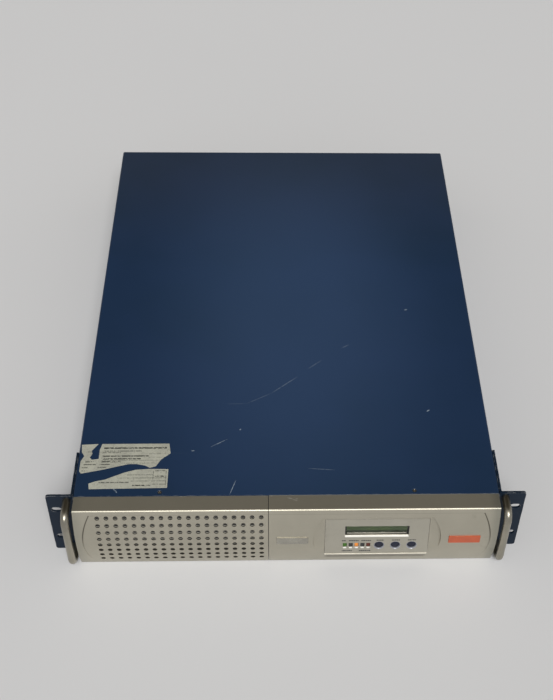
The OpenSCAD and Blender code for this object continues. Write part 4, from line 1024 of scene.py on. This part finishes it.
HUB_R, TIP_R, BLADES, BLADE_RINGS = 16, 36.4, 7, 9
BLADE_Y, BLADE_HALF = 8.3, 7.8  # middle of the blades behind a rotor's front, and half their depth
ROOT_CHORD, TIP_CHORD, CAMBER = 14, 17, 1.1
ROOT_PITCH, TIP_PITCH, SWEEP = math.radians(52), math.radians(32), math.radians(9)

# Turned parts of a rotor: distance from its front, and radius
HUB_PROFILE = ((0.4, 13), (0.1, 15.2), (0.9, 16), (15.2, 16), (16.4, 15))
SHAFT_PROFILE = ((16, 1.5), (20, 1.5))
# Section of a blade: share of its chord from its middle, and height off its curved middle line
BLADE_SECTION = ((-0.5, 0), (-0.3, 0.55), (0, 0.8), (0.3, 0.6), (0.5, 0.15),
                 (0.3, -0.35), (0, -0.25), (-0.3, -0.2))


def blade_ring(share, turn):
    """One section of a blade, round the rotor's axis: share goes from 0 at the hub to 1 at the tip."""
    root = HUB_R - 0.6
    r = root + (TIP_R - root) * share
    pitch = ROOT_PITCH + (TIP_PITCH - ROOT_PITCH) * share
    chord = ROOT_CHORD + (TIP_CHORD - ROOT_CHORD) * share
    ring = []
    for along, off in BLADE_SECTION:
        off += CAMBER * (0.25 - along * along)
        u = along * chord * math.cos(pitch) - off * math.sin(pitch)
        v = along * chord * math.sin(pitch) + off * math.cos(pitch)
        a = turn + SWEEP * share + u / r
        ring.append(Vector((r * math.cos(a), max(-BLADE_HALF, min(BLADE_HALF, v)), r * math.sin(a))))
    return ring


def fan_rotors():
    """Moulded rotors: a hub, its shaft and twisted, curved blades."""
    for number, body in enumerate(("fan_a", "fan_b"), 1):
        node = f"fan_rotor_{number}"
        low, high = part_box(node)
        front = Vector(((low.x + high.x) / 2, low.y, (low.z + high.z) / 2))
        middle = front + Vector((0, BLADE_Y * MM, 0))
        rotor = Solid()
        for profile, segments in ((HUB_PROFILE, 48), (SHAFT_PROFILE, 24)):
            rotor.lathe(front, (0, 1, 0), [(y * MM, r * MM) for y, r in profile], segments)
        for turn in circle(BLADES):
            rows = [blade_ring(k / (BLADE_RINGS - 1), turn) for k in range(BLADE_RINGS)]
            rotor.rings([[middle + p * MM for p in row] for row in rows])
        piece = rotor.piece(f"fan_impeller_{number}", PALETTE["impeller"], body, smooth=50)
        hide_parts(node)


def rear_plate():
    """Blank foil plate under the outlets."""
    plate = Solid()
    plate.box((-160 * MM, REAR_Y - 0.05 * MM, 5.5 * MM), (-56 * MM, REAR_Y + 0.22 * MM, 11.5 * MM), 0.1 * MM)
    plate.piece("rear_foil_plate", PALETTE["tag"], "chassis")


# ---- stage, camera, light

def stage():
    """A pale floor whose top is at the part's foot. Sizes are in metres."""
    half, thick = 6, 0.02
    corners = ((-half, -half), (half, -half), (half, half), (-half, half))
    floor = Solid()
    floor.rings([[Vector((x, y, z)) for x, y in corners] for z in (-thick, 0)])
    obj = floor.object("floor", PALETTE["floor"])


def camera():
    """The photo's viewpoint, from a fit."""
    data = bpy.data.cameras.new("camera")
    data.sensor_width = 36
    data.lens = 59.98
    data.shift_x, data.shift_y = -0.0583, 0.0199
    data.clip_start, data.clip_end = 0.05, 50
    obj = bpy.data.objects.new("camera", data)
    obj.location = (-0.0147, -1.0001, 1.017)
    obj.rotation_euler = tuple(math.radians(a) for a in (44.2, -1.45, -1.66))
    bpy.context.scene.collection.objects.link(obj)
    bpy.context.scene.camera = obj


def key_light():
    """A soft key from the front and above."""
    sun = bpy.data.lights.new("key", "SUN")
    sun.energy = 2.2
    sun.angle = math.radians(24)
    sun.color = (1, 0.985, 0.95)
    obj = bpy.data.objects.new("key", sun)
    obj.rotation_euler = Vector((0.1, -0.85, 1)).to_track_quat("Z", "Y").to_euler()
    bpy.context.scene.collection.objects.link(obj)


def room():
    """A pale room, darker and warmer overhead and behind."""
    world = bpy.data.worlds.new("room")
    world.use_nodes = True
    bpy.context.scene.world = world
    made = Nodes(world.node_tree)
    glow = world.node_tree.nodes["Background"]
    where = made.node("ShaderNodeTexCoord").outputs["Generated"]
    aim = made.vector("DOT_PRODUCT", where, Vector((0, 0.72, 0.69)).normalized())
    tint = made.mix(made.share(aim, 0.2, 0.95), (0.97, 0.985, 1), (1, 0.86, 0.62))
    made.put(glow.inputs["Strength"], made.fade(aim, 0.15, 0.92, 0.475, 0.06))
    made.put(glow.inputs["Color"], tint)


camera()
key_light()
room()
stage()
bpy.context.scene.view_settings.view_transform = "Standard"

finish_nodes()
status_lamps()
opening_lips()
button_rings()
panel_legends()
display_frame()
battery_trim()
wound_chokes()
board_parts()
fan_rotors()
rear_plate()

bpy.context.view_layer.update()
